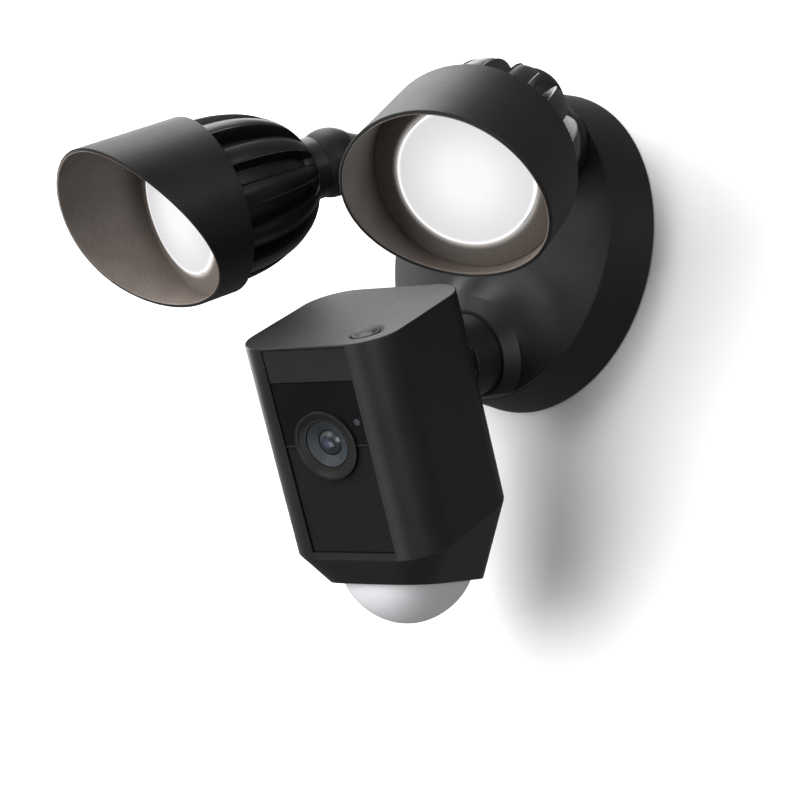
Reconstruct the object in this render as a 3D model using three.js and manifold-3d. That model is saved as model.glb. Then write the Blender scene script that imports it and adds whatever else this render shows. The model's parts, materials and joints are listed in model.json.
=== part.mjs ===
// A wall-mounted floodlight security camera: a round wall base, two swivelling lamp heads and a
// ball-jointed camera. Millimetres, +Z up, the wall is the plane y = 0 and the front faces -Y.
// Inside every group the same reading holds: x is to the right, -y is forward and z is up.
import * as THREE from "three";
import { mergeVertices } from "three/addons/utils/BufferGeometryUtils.js";
import Module from "manifold-3d";

const wasm = await Module();
wasm.setup();

// ---- driving dimensions ----
const GAP = 0.3; // clearance between pieces that touch or slide
const RIGHT = 1;
const LEFT = -1;

// wall base
const BASE_RADIUS = 75; // rim against the wall
const BASE_EDGE_RADIUS = 72; // edge between the side band and the front
const BASE_EDGE_FORWARD = 25.1;
const BASE_CROWN = 29.2; // middle of the domed front
const COVER_WALL = 3.2;
const BRACKET_RADIUS = 66;
const BRACKET_THICKNESS = 2.5;
const INLET_HEIGHT = -28; // mains inlet below the middle of the bracket
const INLET_RADIUS = 11;
const FIXING_SLOT = { spacing: 72, length: 16, width: 5, end: 2.4 }; // screws to the wall box
const TAB_RADIUS = 66.6; // bent tabs of the bracket that take the cover screws
const TAB_HALF_WIDTH = 7;
const TAB_THICKNESS = 2;
const TAB_FORWARD = 14;
const COVER_SCREW_ANGLES = [90, 210];
const COVER_SCREW_FORWARD = 9;
const SCREW_RADIUS = 1.5;
const SCREW_HEAD_RADIUS = 3.2;
const SCREW_SEAT = 72.6; // bottom of the counterbore, from the middle of the base

// lamp arms, drawn from the centre of the knuckle ball
const KNUCKLE = new THREE.Vector3(67, -71.8, 41.7); // right arm; the left one is mirrored in x
const ARM_SPLAY = 32.5; // outward angle of the arm
const ARM_RISE = 7; // upward angle of the arm
const KNUCKLE_RADIUS = 16.5;
const ARM_RADIUS = 14.5;
const ARM_LENGTH = 47.6; // knuckle centre to base ball centre
const ARM_BALL_RADIUS = 18.3;
const ARM_RAISE = 1.5; // the shank sits this much above the line of the two balls
const SPINDLE_END = -75;
const SPINDLE_RADIUS = 6.5;
const SOCKET_RADIUS = 22;
const WIRE_RADIUS = 4;
const ARM_NUT = { radius: 11, height: 4, washer: 10, washerHeight: 1.2 };
const LAMP_POSE = {
  [LEFT]: { swivel: 30.4, tilt: 38.1, turn: 10.6 },
  [RIGHT]: { swivel: -7, tilt: 43, turn: -5.3 },
};
const TILT_SLOT = [-12, 106]; // where the slot of the knuckle lets the tongue swing

// lamp heads, drawn from the same centre
const COLLAR_RADIUS = 14.9;
const COLLAR_END = 15.6;
const TONGUE_THICKNESS = 8;
const PIN_RADIUS = 3;
const PIN_HALF_LENGTH = 12;
const SPIGOT_RADIUS = 9;
const SPIGOT_END = 25;
const SPIGOT_HOLE = SPIGOT_RADIUS + GAP;
const SINK_RADIUS = 38.6;
const SINK_LENGTH = 56.3; // from the widest section back to where the dome would close
const SINK_FRONT = 68.8;
const PETALS = 12;
const GROOVE_DEPTH = 5;
const SHADE_REAR = 69.1;
const SHADE_RADIUS = 41.9;
const SHADE_WALL = 1.9;
const SHADE_FLOOR = 2.2;
const SHADE_HOLE_MARGIN = 1.3; // the lens leaves this much room in the floor of the shade
const SHADE_LENGTH = 37.9; // mean length in front of the heat sink
const SHADE_PEAK = 18.5; // the top is this much longer than the mean, the bottom this much shorter
const SHADE_CURL = 2.8; // sides reach this much further forward than a flat slanted cut
const LENS_RADIUS = 28.7;
const LENS_FORWARD = 83.2;

// camera neck, drawn from the centre of its opening in the base
const NECK_MOUTH = new THREE.Vector3(0, -38.9, -53.1);
const NECK_DROOP = 21.8;
const NECK_RADIUS = 18.9;
const BOSS_RADIUS = 25.6;
const NECK_FRONT = 14.5;
const NECK_SPINDLE_RADIUS = 10;
const BALL_FORWARD = 26.2;
const STEM_RADIUS = 5;
const BALL_RADIUS = 9.5;

// camera, drawn from the centre of its ball
const CAMERA_POSE = { yaw: 14.24, pitch: 29.94, roll: 2.35 };
const BODY_WIDTH = 76.9;
const BODY_DEPTH = 75.8;
const BODY_CORNER = 18.5;
const BODY_BACK = -10; // back wall, in front of the ball centre
const BODY_TOP = 41.7;
const BODY_SEAM = -54.1;
const BODY_WALL = 2.6;
const BODY_MIDDLE = BODY_BACK - BODY_DEPTH / 2;
const BODY_FRONT = BODY_BACK - BODY_DEPTH;
const PANEL_WIDTH = 42.6;
const PANEL_TOP = BODY_TOP - 1;
const PANEL_BOTTOM = BODY_TOP - 92.5;
const BAND_LINE = BODY_TOP - 15.6;
const LEDGE_LINE = BODY_TOP - 43.4;
const LENS_RING_RADIUS = 15.2;
const IRIS_RING_RADIUS = 10;
const SENSOR_X = 17.8; // light sensor, beside and above the lens
const SENSOR_Z = LEDGE_LINE + 9.6;
const FLANGE_HALF_WIDTH = 24.5;
const CHIN_DROP = 11.3; // height of the chin at the front wall
const CHIN_SLOPE = 21.9; // the underside falls towards the back
const CHIN_SCALE = 0.7; // the underside is this much smaller than the seam
const CHIN_SHIFT = -5.7;
const DOME_RADIUS = 24.4;
const DOME_HEIGHT = 18.5;
const BUTTON_X = 21.7;
const BUTTON_Y = BODY_MIDDLE - 22.2;
const BUTTON_RADIUS = 6.4;
const BUTTON_DISH_RADIUS = 9.2;

const FINE = 36; // facets round the large turned pieces
const MEDIUM = 20;
const COARSE = 16;
const SMALL = 10;

// ---- materials ----
const paint = (color, roughness, metalness = 0) =>
  new THREE.MeshStandardMaterial({ color, roughness, metalness });
const BLACK_SHELL = paint("#262626", 0.55);
const BLACK_METAL = paint("#242424", 0.5, 0.3);
const STEEL = paint("#8d9093", 0.35, 1);
const RUBBER = paint("#161616", 0.9);
const BOARD = paint("#1d4a33", 0.6);
const WHITE_PART = paint("#e9e8e4", 0.5);
const EMITTER = paint("#fff3d0", 0.4);
const DIFFUSER = paint("#ffffff", 0.25);
const SHADE_LINER = paint("#8f857c", 0.5);
const DARK_GLASS = paint("#121214", 0.12);
const LENS_GLASS = paint("#1a2230", 0.05);
const IRIS_RING = paint("#3c4248", 0.4, 0.4);
const MESH_GRILLE = paint("#1b1b1b", 0.7, 0.2);
const DOME_PLASTIC = paint("#c9cbcc", 0.4);

// ---- shape helpers ----
const rad = THREE.MathUtils.degToRad;

// A turned solid about the forward axis; the profile lists [radius, forward].
function turned(profile, segments = MEDIUM) {
  const points = profile.map(([radius, forward]) => new THREE.Vector2(radius, -forward));
  return new THREE.LatheGeometry(points, segments);
}

// Points of an arc of a circle centred on the forward axis, angles measured from forward.
function arcProfile(radius, centre, from, to, steps) {
  const points = [];
  for (let i = 0; i <= steps; i += 1) {
    const angle = rad(from + ((to - from) * i) / steps);
    points.push([Math.max(0, radius * Math.sin(angle)), centre + radius * Math.cos(angle)]);
  }
  return points;
}

function rod(radius, from, to, segments = COARSE) {
  return turned([[0, from], [radius, from], [radius, to], [0, to]], segments);
}

function tube(outer, inner, from, to, segments = MEDIUM) {
  return turned([[inner, from], [outer, from], [outer, to], [inner, to], [inner, from]], segments);
}

function ball(radius, segments = MEDIUM) {
  return new THREE.SphereGeometry(radius, segments, segments / 2);
}

// A box given by its two opposite corners.
function block(low, high) {
  const size = high.map((value, i) => value - low[i]);
  const middle = high.map((value, i) => (value + low[i]) / 2);
  return new THREE.BoxGeometry(...size).translate(...middle);
}

function roundedOutline(width, depth, radius) {
  const [w, d] = [width / 2, depth / 2];
  const outline = new THREE.Shape();
  outline.moveTo(w, -d + radius);
  outline.lineTo(w, d - radius);
  outline.absarc(w - radius, d - radius, radius, 0, Math.PI / 2);
  outline.absarc(-w + radius, d - radius, radius, Math.PI / 2, Math.PI);
  outline.absarc(-w + radius, -d + radius, radius, Math.PI, Math.PI * 1.5);
  outline.absarc(w - radius, -d + radius, radius, Math.PI * 1.5, Math.PI * 2);
  return outline;
}

// An upright prism with rounded corners, from z = low to z = high.
function roundedPrism(width, depth, radius, low, high, bevel = 0) {
  const settings = {
    depth: high - low - 2 * bevel,
    curveSegments: 6,
    bevelEnabled: bevel > 0,
    bevelThickness: bevel,
    bevelSize: bevel,
    bevelOffset: -bevel,
    bevelSegments: 1,
  };
  const outline = roundedOutline(width, depth, radius);
  return new THREE.ExtrudeGeometry(outline, settings).translate(0, 0, low + bevel);
}

// Moves every vertex with a function of its place.
function reshape(geometry, move) {
  const position = geometry.getAttribute("position");
  const point = new THREE.Vector3();
  for (let i = 0; i < position.count; i += 1) {
    point.fromBufferAttribute(position, i);
    move(point);
    position.setXYZ(i, point.x, point.y, point.z);
  }
  return geometry;
}

function placed(geometry, position, rotation = [0, 0, 0]) {
  const euler = new THREE.Euler(...rotation.map(rad), "ZXY");
  const turn = new THREE.Quaternion().setFromEuler(euler);
  const matrix = new THREE.Matrix4().compose(position, turn, new THREE.Vector3(1, 1, 1));
  return geometry.clone().applyMatrix4(matrix);
}

const at = (x, y, z) => new THREE.Vector3(x, y, z);

// ---- solid cuts and joins ----
function signedVolume(positions, index) {
  const [a, b, c] = [at(0, 0, 0), at(0, 0, 0), at(0, 0, 0)];
  let volume = 0;
  for (let i = 0; i < index.length; i += 3) {
    a.fromArray(positions, index[i] * 3);
    b.fromArray(positions, index[i + 1] * 3);
    c.fromArray(positions, index[i + 2] * 3);
    volume += a.dot(b.cross(c)) / 6;
  }
  return volume;
}

function welded(geometry) {
  const bare = geometry.clone();
  bare.deleteAttribute("normal");
  bare.deleteAttribute("uv");
  return mergeVertices(bare, 1e-4);
}

// Triangles that the welding folded onto an axis or a seam are dropped; the rest face outwards.
function outwardTriangles(geometry) {
  const index = geometry.getIndex().array;
  const kept = [];
  for (let i = 0; i < index.length; i += 3) {
    const [p, q, r] = [index[i], index[i + 1], index[i + 2]];
    if (p !== q && q !== r && r !== p) kept.push(p, q, r);
  }
  const positions = geometry.getAttribute("position").array;
  if (signedVolume(positions, kept) >= 0) return kept;
  return kept.map((_, i) => kept[i - (i % 3) + [0, 2, 1][i % 3]]);
}

function toSolid(geometry) {
  const bare = welded(geometry);
  const vertProperties = new Float32Array(bare.getAttribute("position").array);
  const triVerts = new Uint32Array(outwardTriangles(bare));
  return new wasm.Manifold(new wasm.Mesh({ numProp: 3, vertProperties, triVerts }));
}

function fromSolid(solid) {
  const mesh = solid.getMesh();
  const geometry = new THREE.BufferGeometry();
  geometry.setAttribute("position", new THREE.BufferAttribute(mesh.vertProperties, 3));
  geometry.setIndex(new THREE.BufferAttribute(mesh.triVerts, 1));
  return geometry;
}

const join = (first, ...others) =>
  fromSolid(others.reduce((solid, next) => solid.add(toSolid(next)), toSolid(first)));
const cut = (first, ...others) =>
  fromSolid(others.reduce((solid, next) => solid.subtract(toSolid(next)), toSolid(first)));
const common = (first, second) => fromSolid(toSolid(first).intersect(toSolid(second)));

function piece(name, geometry, material) {
  const bare = welded(geometry);
  bare.setIndex(outwardTriangles(bare));
  bare.computeVertexNormals();
  const mesh = new THREE.Mesh(bare, material);
  mesh.name = name;
  return mesh;
}

function group(position, rotation, ...members) {
  const made = new THREE.Group();
  made.position.copy(position);
  made.rotation.set(...rotation.map(rad), "ZXY");
  made.add(...members);
  return made;
}

const ORIGIN = at(0, 0, 0);
const sideName = (side) => (side === LEFT ? "left" : "right");
const knuckleOf = (side) => at(side * KNUCKLE.x, KNUCKLE.y, KNUCKLE.z);
const armTurn = (side) => [-ARM_RISE, 0, side * ARM_SPLAY];

// ---- wall base ----
const coverOutline = [
  [0, BASE_CROWN],
  [26, BASE_CROWN - 0.4],
  [48, BASE_CROWN - 1.4],
  [64, BASE_EDGE_FORWARD + 1],
  [BASE_EDGE_RADIUS - 1.2, BASE_EDGE_FORWARD + 0.1],
  [BASE_EDGE_RADIUS, BASE_EDGE_FORWARD - 0.6],
];

function coverShell() {
  const inner = coverOutline.map(([radius, forward]) => [
    radius > COVER_WALL ? radius - COVER_WALL : 0,
    forward - COVER_WALL,
  ]);
  inner.reverse();
  const rim = [[BASE_RADIUS, 0], [BASE_RADIUS - COVER_WALL, 0]];
  return turned([...coverOutline, ...rim, ...inner], FINE);
}

const socketMouth = -ARM_LENGTH - 2;
const socketFloor = -ARM_LENGTH - ARM_BALL_RADIUS - 3;

// The raised cup that takes the ball at the foot of a lamp arm.
function armSocket() {
  return turned([
    [0, socketMouth],
    [SOCKET_RADIUS - 0.8, socketMouth],
    [SOCKET_RADIUS, socketMouth - 0.8],
    [SOCKET_RADIUS + 0.6, socketMouth - 5],
    [SOCKET_RADIUS + 2, socketMouth - 10],
    [SOCKET_RADIUS + 2, socketFloor],
    [0, socketFloor],
  ]);
}

const NECK_BORE_DEPTH = 12;
const BOSS_FLOOR = -16;
const BOSS_SKIRT = -27;

// The tilted boss in which the camera's neck turns.
function neckBoss() {
  return turned([
    [0, 0],
    [NECK_RADIUS + 1.4, 0],
    [BOSS_RADIUS - 1, -4.4],
    [BOSS_RADIUS, -5.4],
    [BOSS_RADIUS + 0.3, -9],
    [BOSS_RADIUS + 1.6, -13],
    [BOSS_RADIUS + 4, -17],
    [BOSS_RADIUS + 4, BOSS_SKIRT],
    [0, BOSS_SKIRT],
  ], FINE);
}

// Lays a shape drawn along the forward axis onto a radius of the base.
function radial(geometry, angle) {
  const outward = at(Math.cos(rad(angle)), 0, Math.sin(rad(angle)));
  const turn = new THREE.Quaternion().setFromUnitVectors(at(0, -1, 0), outward);
  return geometry.clone().applyQuaternion(turn).translate(0, -COVER_SCREW_FORWARD, 0);
}

function coverBody() {
  const footprint = rod(BASE_EDGE_RADIUS - 0.2, 3, 70, FINE);
  const neckTurn = [NECK_DROOP, 0, 0];
  const boss = common(placed(neckBoss(), NECK_MOUTH, neckTurn), footprint);
  let body = join(coverShell(), boss);
  body = cut(
    body,
    placed(rod(BOSS_RADIUS - 2.6, -45, BOSS_FLOOR), NECK_MOUTH, neckTurn),
    placed(rod(NECK_RADIUS + GAP, -NECK_BORE_DEPTH, 20, FINE), NECK_MOUTH, neckTurn),
    placed(rod(NECK_SPINDLE_RADIUS + GAP, -30, 0), NECK_MOUTH, neckTurn),
  );
  for (const side of [LEFT, RIGHT]) {
    const [knuckle, turn] = [knuckleOf(side), armTurn(side)];
    const bowl = ball(ARM_BALL_RADIUS + 2 * GAP).translate(0, ARM_LENGTH, 0);
    const hole = rod(SPINDLE_RADIUS + GAP, socketFloor - 20, socketMouth);
    body = join(body, common(placed(armSocket(), knuckle, turn), footprint));
    body = cut(body, placed(bowl, knuckle, turn), placed(hole, knuckle, turn));
  }
  for (const angle of COVER_SCREW_ANGLES) {
    body = cut(
      body,
      radial(rod(SCREW_RADIUS + GAP, 60, 80, SMALL), angle),
      radial(rod(SCREW_HEAD_RADIUS + GAP, SCREW_SEAT, 80, SMALL), angle),
    );
  }
  return body;
}

function wallBracket() {
  const inlet = rod(INLET_RADIUS, -1, 5).translate(0, 0, INLET_HEIGHT);
  let bracket = cut(rod(BRACKET_RADIUS, 0, BRACKET_THICKNESS, FINE), inlet);
  const { spacing, length, width, end } = FIXING_SLOT;
  for (const side of [LEFT, RIGHT]) {
    const slot = roundedPrism(length, width, end, -1, 5).rotateX(Math.PI / 2);
    bracket = cut(bracket, slot.translate((side * spacing) / 2, 0, 0));
  }
  for (const angle of COVER_SCREW_ANGLES) {
    const top = TAB_RADIUS + TAB_THICKNESS;
    const foot = block([-TAB_HALF_WIDTH, -BRACKET_THICKNESS, 60], [TAB_HALF_WIDTH, 0, top]);
    const tab = block([-TAB_HALF_WIDTH, -TAB_FORWARD, TAB_RADIUS], [TAB_HALF_WIDTH, -1, top]);
    for (const plate of [foot, tab]) bracket = join(bracket, plate.rotateY(-rad(angle - 90)));
    bracket = cut(bracket, radial(rod(SCREW_RADIUS + GAP, 60, 72, SMALL), angle));
  }
  return bracket;
}

function coverScrew(angle) {
  const shank = [[0, 62], [SCREW_RADIUS, 62], [SCREW_RADIUS, SCREW_SEAT + GAP]];
  const head = [[SCREW_HEAD_RADIUS, SCREW_SEAT + GAP], [SCREW_HEAD_RADIUS, 74.3], [0, 74.8]];
  return radial(turned([...shank, ...head], SMALL), angle);
}

function wallBase() {
  const [topScrew, lowScrew] = COVER_SCREW_ANGLES;
  const gasket = tube(BASE_RADIUS - COVER_WALL - 2 * GAP, TAB_RADIUS + 3, 0, 3, FINE);
  const grommet = turned([
    [7, 0], [INLET_RADIUS - GAP, 0], [INLET_RADIUS - GAP, BRACKET_THICKNESS + GAP],
    [13.5, BRACKET_THICKNESS + GAP], [13.5, 5], [7, 5], [7, 0],
  ], COARSE);
  return [
    piece("wall_bracket", wallBracket(), STEEL),
    piece("wall_gasket", gasket, RUBBER),
    piece("base_cover", coverBody(), BLACK_SHELL),
    piece("cover_screw_top", coverScrew(topScrew), STEEL),
    piece("cover_screw_low", coverScrew(lowScrew), STEEL),
    piece("inlet_grommet", grommet.translate(0, 0, INLET_HEIGHT), RUBBER),
    piece("driver_board", block([-34, -7.6, -12], [34, -6, 12]), BOARD),
    piece("power_module", block([-24, -20, -10], [14, -7.9, 8]), WHITE_PART),
    piece("terminal_block", block([18, -18, -10], [32, -7.9, 4]), WHITE_PART),
    piece("siren", rod(11, 6, 14).translate(0, 0, 46), RUBBER),
  ];
}

// ---- lamp arm ----
// The slot that lets the lamp's tongue swing down from the arm's own direction.
function tongueSlot() {
  const width = TONGUE_THICKNESS + 4 * GAP;
  const [first, last] = TILT_SLOT;
  const fan = new THREE.Shape();
  const reach = KNUCKLE_RADIUS + 4;
  fan.moveTo(0, 0);
  fan.lineTo(reach * Math.cos(rad(first)), reach * Math.sin(rad(first)));
  fan.absarc(0, 0, reach, rad(first), rad(last));
  const settings = { depth: width, bevelEnabled: false, curveSegments: 10 };
  // drawn with x forward and y down, then stood up on the arm's middle plane
  const toArm = new THREE.Matrix4().makeBasis(at(0, -1, 0), at(0, 0, -1), at(1, 0, 0));
  const swing = new THREE.ExtrudeGeometry(fan, settings).translate(0, 0, -width / 2);
  swing.applyMatrix4(toArm);
  const hub = new THREE.CylinderGeometry(8, 8, width, COARSE).rotateZ(Math.PI / 2);
  const slots = [first, last].map((angle) =>
    block([-width / 2, -reach, -5.6], [width / 2, 0, 5.6]).rotateX(rad(angle)));
  return join(swing, hub, ...slots);
}

function crossRod(radius, halfLength, segments = COARSE) {
  return new THREE.CylinderGeometry(radius, radius, 2 * halfLength, segments).rotateZ(Math.PI / 2);
}

function armBody() {
  const spindle = rod(SPINDLE_RADIUS, SPINDLE_END, -ARM_LENGTH);
  const shank = rod(ARM_RADIUS, -ARM_LENGTH, 0).translate(0, 0, ARM_RAISE);
  const foot = ball(ARM_BALL_RADIUS).translate(0, ARM_LENGTH, 0);
  const body = join(ball(KNUCKLE_RADIUS), shank, foot, spindle);
  const pinHole = crossRod(PIN_RADIUS + GAP, PIN_HALF_LENGTH + GAP);
  const wireWay = rod(WIRE_RADIUS, SPINDLE_END - 5, -2, SMALL);
  return cut(body, tongueSlot(), pinHole, wireWay);
}

function hexNut(radius, hole, from, to) {
  return cut(rod(radius, from, to, 6), rod(hole, from - 1, to + 1));
}

function lampArm(side) {
  const name = sideName(side);
  const hole = SPINDLE_RADIUS + GAP;
  const washerFront = socketFloor - GAP;
  const washerBack = washerFront - ARM_NUT.washerHeight;
  const washer = tube(ARM_NUT.washer, hole, washerBack, washerFront, COARSE);
  const nutFront = washerBack - GAP;
  const nut = hexNut(ARM_NUT.radius, hole, nutFront - ARM_NUT.height, nutFront);
  return [
    piece(`arm_${name}`, armBody(), BLACK_SHELL),
    piece(`knuckle_pin_${name}`, crossRod(PIN_RADIUS, PIN_HALF_LENGTH), STEEL),
    piece(`arm_washer_${name}`, washer, STEEL),
    piece(`arm_nut_${name}`, nut, STEEL),
  ];
}

// ---- lamp head ----
function lampNeck() {
  const collar = turned([
    [0, 4], [COLLAR_RADIUS, 4], [COLLAR_RADIUS, COLLAR_END - 0.6], [COLLAR_RADIUS - 0.6, COLLAR_END],
    [SPIGOT_RADIUS, COLLAR_END], [SPIGOT_RADIUS, SPIGOT_END], [0, SPIGOT_END],
  ]);
  const seat = ball(KNUCKLE_RADIUS + 2 * GAP);
  const half = TONGUE_THICKNESS / 2;
  const stem = block([-half, -KNUCKLE_RADIUS - 3, -5], [half, 0, 5]);
  const tongue = join(stem, crossRod(7.4, half));
  return cut(join(cut(collar, seat), tongue), crossRod(PIN_RADIUS + GAP, 10));
}

// Widest at the front and closing like a dome towards the collar.
function sinkRadius(forward) {
  const reach = (SINK_FRONT - forward) / SINK_LENGTH;
  return SINK_RADIUS * (1 - reach ** 2.3) ** (1 / 2.3);
}

function heatSink() {
  const rear = COLLAR_END + GAP;
  const profile = [[0, SPIGOT_END + GAP], [SPIGOT_HOLE, SPIGOT_END + GAP], [SPIGOT_HOLE, rear]];
  for (let i = 0; i <= 7; i += 1) {
    const forward = rear + (SINK_FRONT - rear) * (i / 7) ** 1.5;
    profile.push([sinkRadius(forward), forward]);
  }
  profile.push([0, SINK_FRONT]);
  const grooved = (point) => {
    const radius = Math.hypot(point.x, point.z);
    if (radius < SPIGOT_RADIUS + 1 || -point.y < rear + 1) return;
    const valley = (0.5 - 0.5 * Math.cos(PETALS * Math.atan2(point.x, point.z))) ** 3;
    const shrink = 1 - (GROOVE_DEPTH * valley) / Math.max(radius, 20);
    point.x *= shrink;
    point.z *= shrink;
  };
  return reshape(turned(profile, PETALS * 4), grooved);
}

// How far the lip of the shade reaches at an angle from its top.
function shadeReach(angle) {
  return SHADE_LENGTH + SHADE_PEAK * Math.cos(angle) - SHADE_CURL * Math.cos(2 * angle);
}

function shade() {
  const rear = SHADE_REAR;
  const inner = SHADE_RADIUS - SHADE_WALL;
  const hole = LENS_RADIUS + SHADE_HOLE_MARGIN;
  const lip = rear + SHADE_LENGTH;
  const floor = rear + SHADE_FLOOR;
  const profile = [
    [hole, rear], [SHADE_RADIUS, rear], [SHADE_RADIUS, lip - 0.5], [SHADE_RADIUS - 0.5, lip],
    [inner + 0.3, lip], [inner, lip - 0.4], [inner, floor], [hole, floor], [hole, rear],
  ];
  const slanted = (point) => {
    const forward = -point.y - rear;
    if (forward < SHADE_LENGTH - 1) return;
    point.y = -rear - forward * (shadeReach(Math.atan2(point.x, point.z)) / SHADE_LENGTH);
  };
  return reshape(turned(profile, FINE), slanted);
}

function lampHead(side) {
  const name = sideName(side);
  const inner = SHADE_RADIUS - SHADE_WALL - GAP;
  const hole = LENS_RADIUS + GAP;
  const front = LENS_FORWARD;
  const bezel = turned([
    [hole, front - 0.8], [hole, front - 2.6], [inner, front - 5.4], [inner, front - 3.6],
    [hole, front - 0.8],
  ], FINE);
  const reflector = turned([
    [11, SHADE_REAR + 3], [27, front - 3.8], [28.4, front - 3.8], [12.4, SHADE_REAR + 3],
    [11, SHADE_REAR + 3],
  ]);
  const lens = turned([
    [0, front - 2], [LENS_RADIUS, front - 2], [LENS_RADIUS, front - 0.3], [0, front + 0.7],
  ], FINE);
  const seal = tube(LENS_RADIUS - GAP, LENS_RADIUS - 2, front - 3.4, front - 2.3);
  const board = rod(LENS_RADIUS + 0.8, SHADE_REAR, SHADE_REAR + 1.6);
  return [
    piece(`heat_sink_${name}`, heatSink(), BLACK_METAL),
    piece(`shade_${name}`, shade(), BLACK_SHELL),
    piece(`bezel_${name}`, bezel, SHADE_LINER),
    piece(`reflector_${name}`, reflector, WHITE_PART),
    piece(`led_board_${name}`, board, BOARD),
    piece(`led_emitter_${name}`, rod(9, SHADE_REAR + 1.9, SHADE_REAR + 2.9), EMITTER),
    piece(`lens_seal_${name}`, seal, RUBBER),
    piece(`lamp_lens_${name}`, lens, DIFFUSER),
  ];
}

// ---- camera neck ----
function cameraNeck() {
  const groove = [-8, -5.6];
  const body = turned([
    [0, -24], [NECK_SPINDLE_RADIUS, -24], [NECK_SPINDLE_RADIUS, -NECK_BORE_DEPTH + GAP],
    [NECK_RADIUS, -NECK_BORE_DEPTH + GAP], [NECK_RADIUS, groove[0]], [NECK_RADIUS - 1.8, groove[0]],
    [NECK_RADIUS - 1.8, groove[1]], [NECK_RADIUS, groove[1]], [NECK_RADIUS, NECK_FRONT - 0.8],
    [NECK_RADIUS - 0.8, NECK_FRONT], [NECK_RADIUS - 2.4, NECK_FRONT], [NECK_RADIUS - 2.8, NECK_FRONT - 1.4],
    [0, NECK_FRONT - 1.4],
  ], FINE);
  const neck = cut(body, rod(STEM_RADIUS + GAP, 4, 20), rod(3.2, -30, 5, SMALL));
  const seal = tube(NECK_RADIUS, NECK_RADIUS - 1.5, groove[0] + GAP, groove[1] - GAP, FINE);
  const nutHole = NECK_SPINDLE_RADIUS + GAP;
  const nutFront = BOSS_FLOOR - GAP;
  const nut = hexNut(16, nutHole, nutFront - 4.5, nutFront);
  const stem = rod(STEM_RADIUS, 4 + GAP, BALL_FORWARD);
  const knob = join(stem, ball(BALL_RADIUS, COARSE).translate(0, -BALL_FORWARD, 0));
  return [
    piece("camera_neck", neck, BLACK_SHELL),
    piece("neck_seal", seal, RUBBER),
    piece("neck_nut", nut, STEEL),
    piece("neck_ball", cut(knob, rod(2.2, 0, 40, SMALL)), STEEL),
  ];
}

// ---- camera ----
function cameraShell() {
  const [w, d, r] = [BODY_WIDTH, BODY_DEPTH, BODY_CORNER];
  const wall = BODY_WALL;
  const outside = roundedPrism(w, d, r, BODY_SEAM, BODY_TOP, 0.6).translate(0, BODY_MIDDLE, 0);
  const inside = roundedPrism(w - 2 * wall, d - 2 * wall, r - wall, BODY_SEAM - 5, BODY_TOP - 3)
    .translate(0, BODY_MIDDLE, 0);
  const half = PANEL_WIDTH / 2;
  const panel = block([-half, BODY_FRONT - 1, PANEL_BOTTOM], [half, BODY_FRONT + 6, PANEL_TOP]);
  const cable = rod(STEM_RADIUS, 0, 20, SMALL);
  const dish = new THREE.CylinderGeometry(BUTTON_DISH_RADIUS, BUTTON_DISH_RADIUS - 1, 2, MEDIUM);
  dish.rotateX(Math.PI / 2).translate(BUTTON_X, BUTTON_Y, BODY_TOP + 0.2);
  const opening = BUTTON_RADIUS + GAP;
  const hole = new THREE.CylinderGeometry(opening, opening, 10, COARSE);
  hole.rotateX(Math.PI / 2).translate(BUTTON_X, BUTTON_Y, BODY_TOP);
  return cut(outside, inside, panel, cable, dish, hole);
}

// A block that narrows from the seam to the sloping underside.
function chinWedge(inset) {
  const grow = (BODY_WIDTH - 2 * inset) / BODY_WIDTH;
  const outline = roundedPrism(BODY_WIDTH * grow, BODY_DEPTH * grow, BODY_CORNER - inset, 0, 1);
  return reshape(outline, (point) => {
    const underside = point.z < 0.5;
    if (underside) {
      point.x *= CHIN_SCALE;
      point.y = point.y * CHIN_SCALE + CHIN_SHIFT;
      const fall = CHIN_DROP + Math.tan(rad(CHIN_SLOPE)) * (point.y + BODY_DEPTH / 2);
      point.z = -fall + inset;
    } else {
      point.z = inset;
    }
  });
}

const CHIN_TOP = BODY_SEAM - GAP;
const UNDERSIDE = at(
  0,
  BODY_MIDDLE + CHIN_SHIFT,
  CHIN_TOP - CHIN_DROP - Math.tan(rad(CHIN_SLOPE)) * (CHIN_SHIFT + BODY_DEPTH / 2),
);
const UNDERSIDE_TURN = [90 - CHIN_SLOPE, 0, 0];

function chin() {
  const wedge = cut(chinWedge(0), chinWedge(BODY_WALL)).translate(0, BODY_MIDDLE, CHIN_TOP);
  const eye = placed(rod(DOME_RADIUS - 1.6, -8, 8, MEDIUM), UNDERSIDE, UNDERSIDE_TURN);
  return cut(wedge, eye);
}

function motionDome() {
  const curve = (DOME_RADIUS ** 2 + DOME_HEIGHT ** 2) / (2 * DOME_HEIGHT);
  const centre = DOME_HEIGHT + GAP - curve;
  const edge = THREE.MathUtils.radToDeg(Math.asin(DOME_RADIUS / curve));
  const neck = DOME_RADIUS - 2 - GAP;
  const liner = curve - 1.6;
  const linerEdge = THREE.MathUtils.radToDeg(Math.asin((neck - 1.5) / liner));
  return turned([
    ...arcProfile(curve, centre, 0, edge, 6),
    [neck, GAP], [neck, -3.5], [neck - 1.5, -3.5],
    ...arcProfile(liner, centre, linerEdge, 0, 4),
  ], MEDIUM);
}

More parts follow.
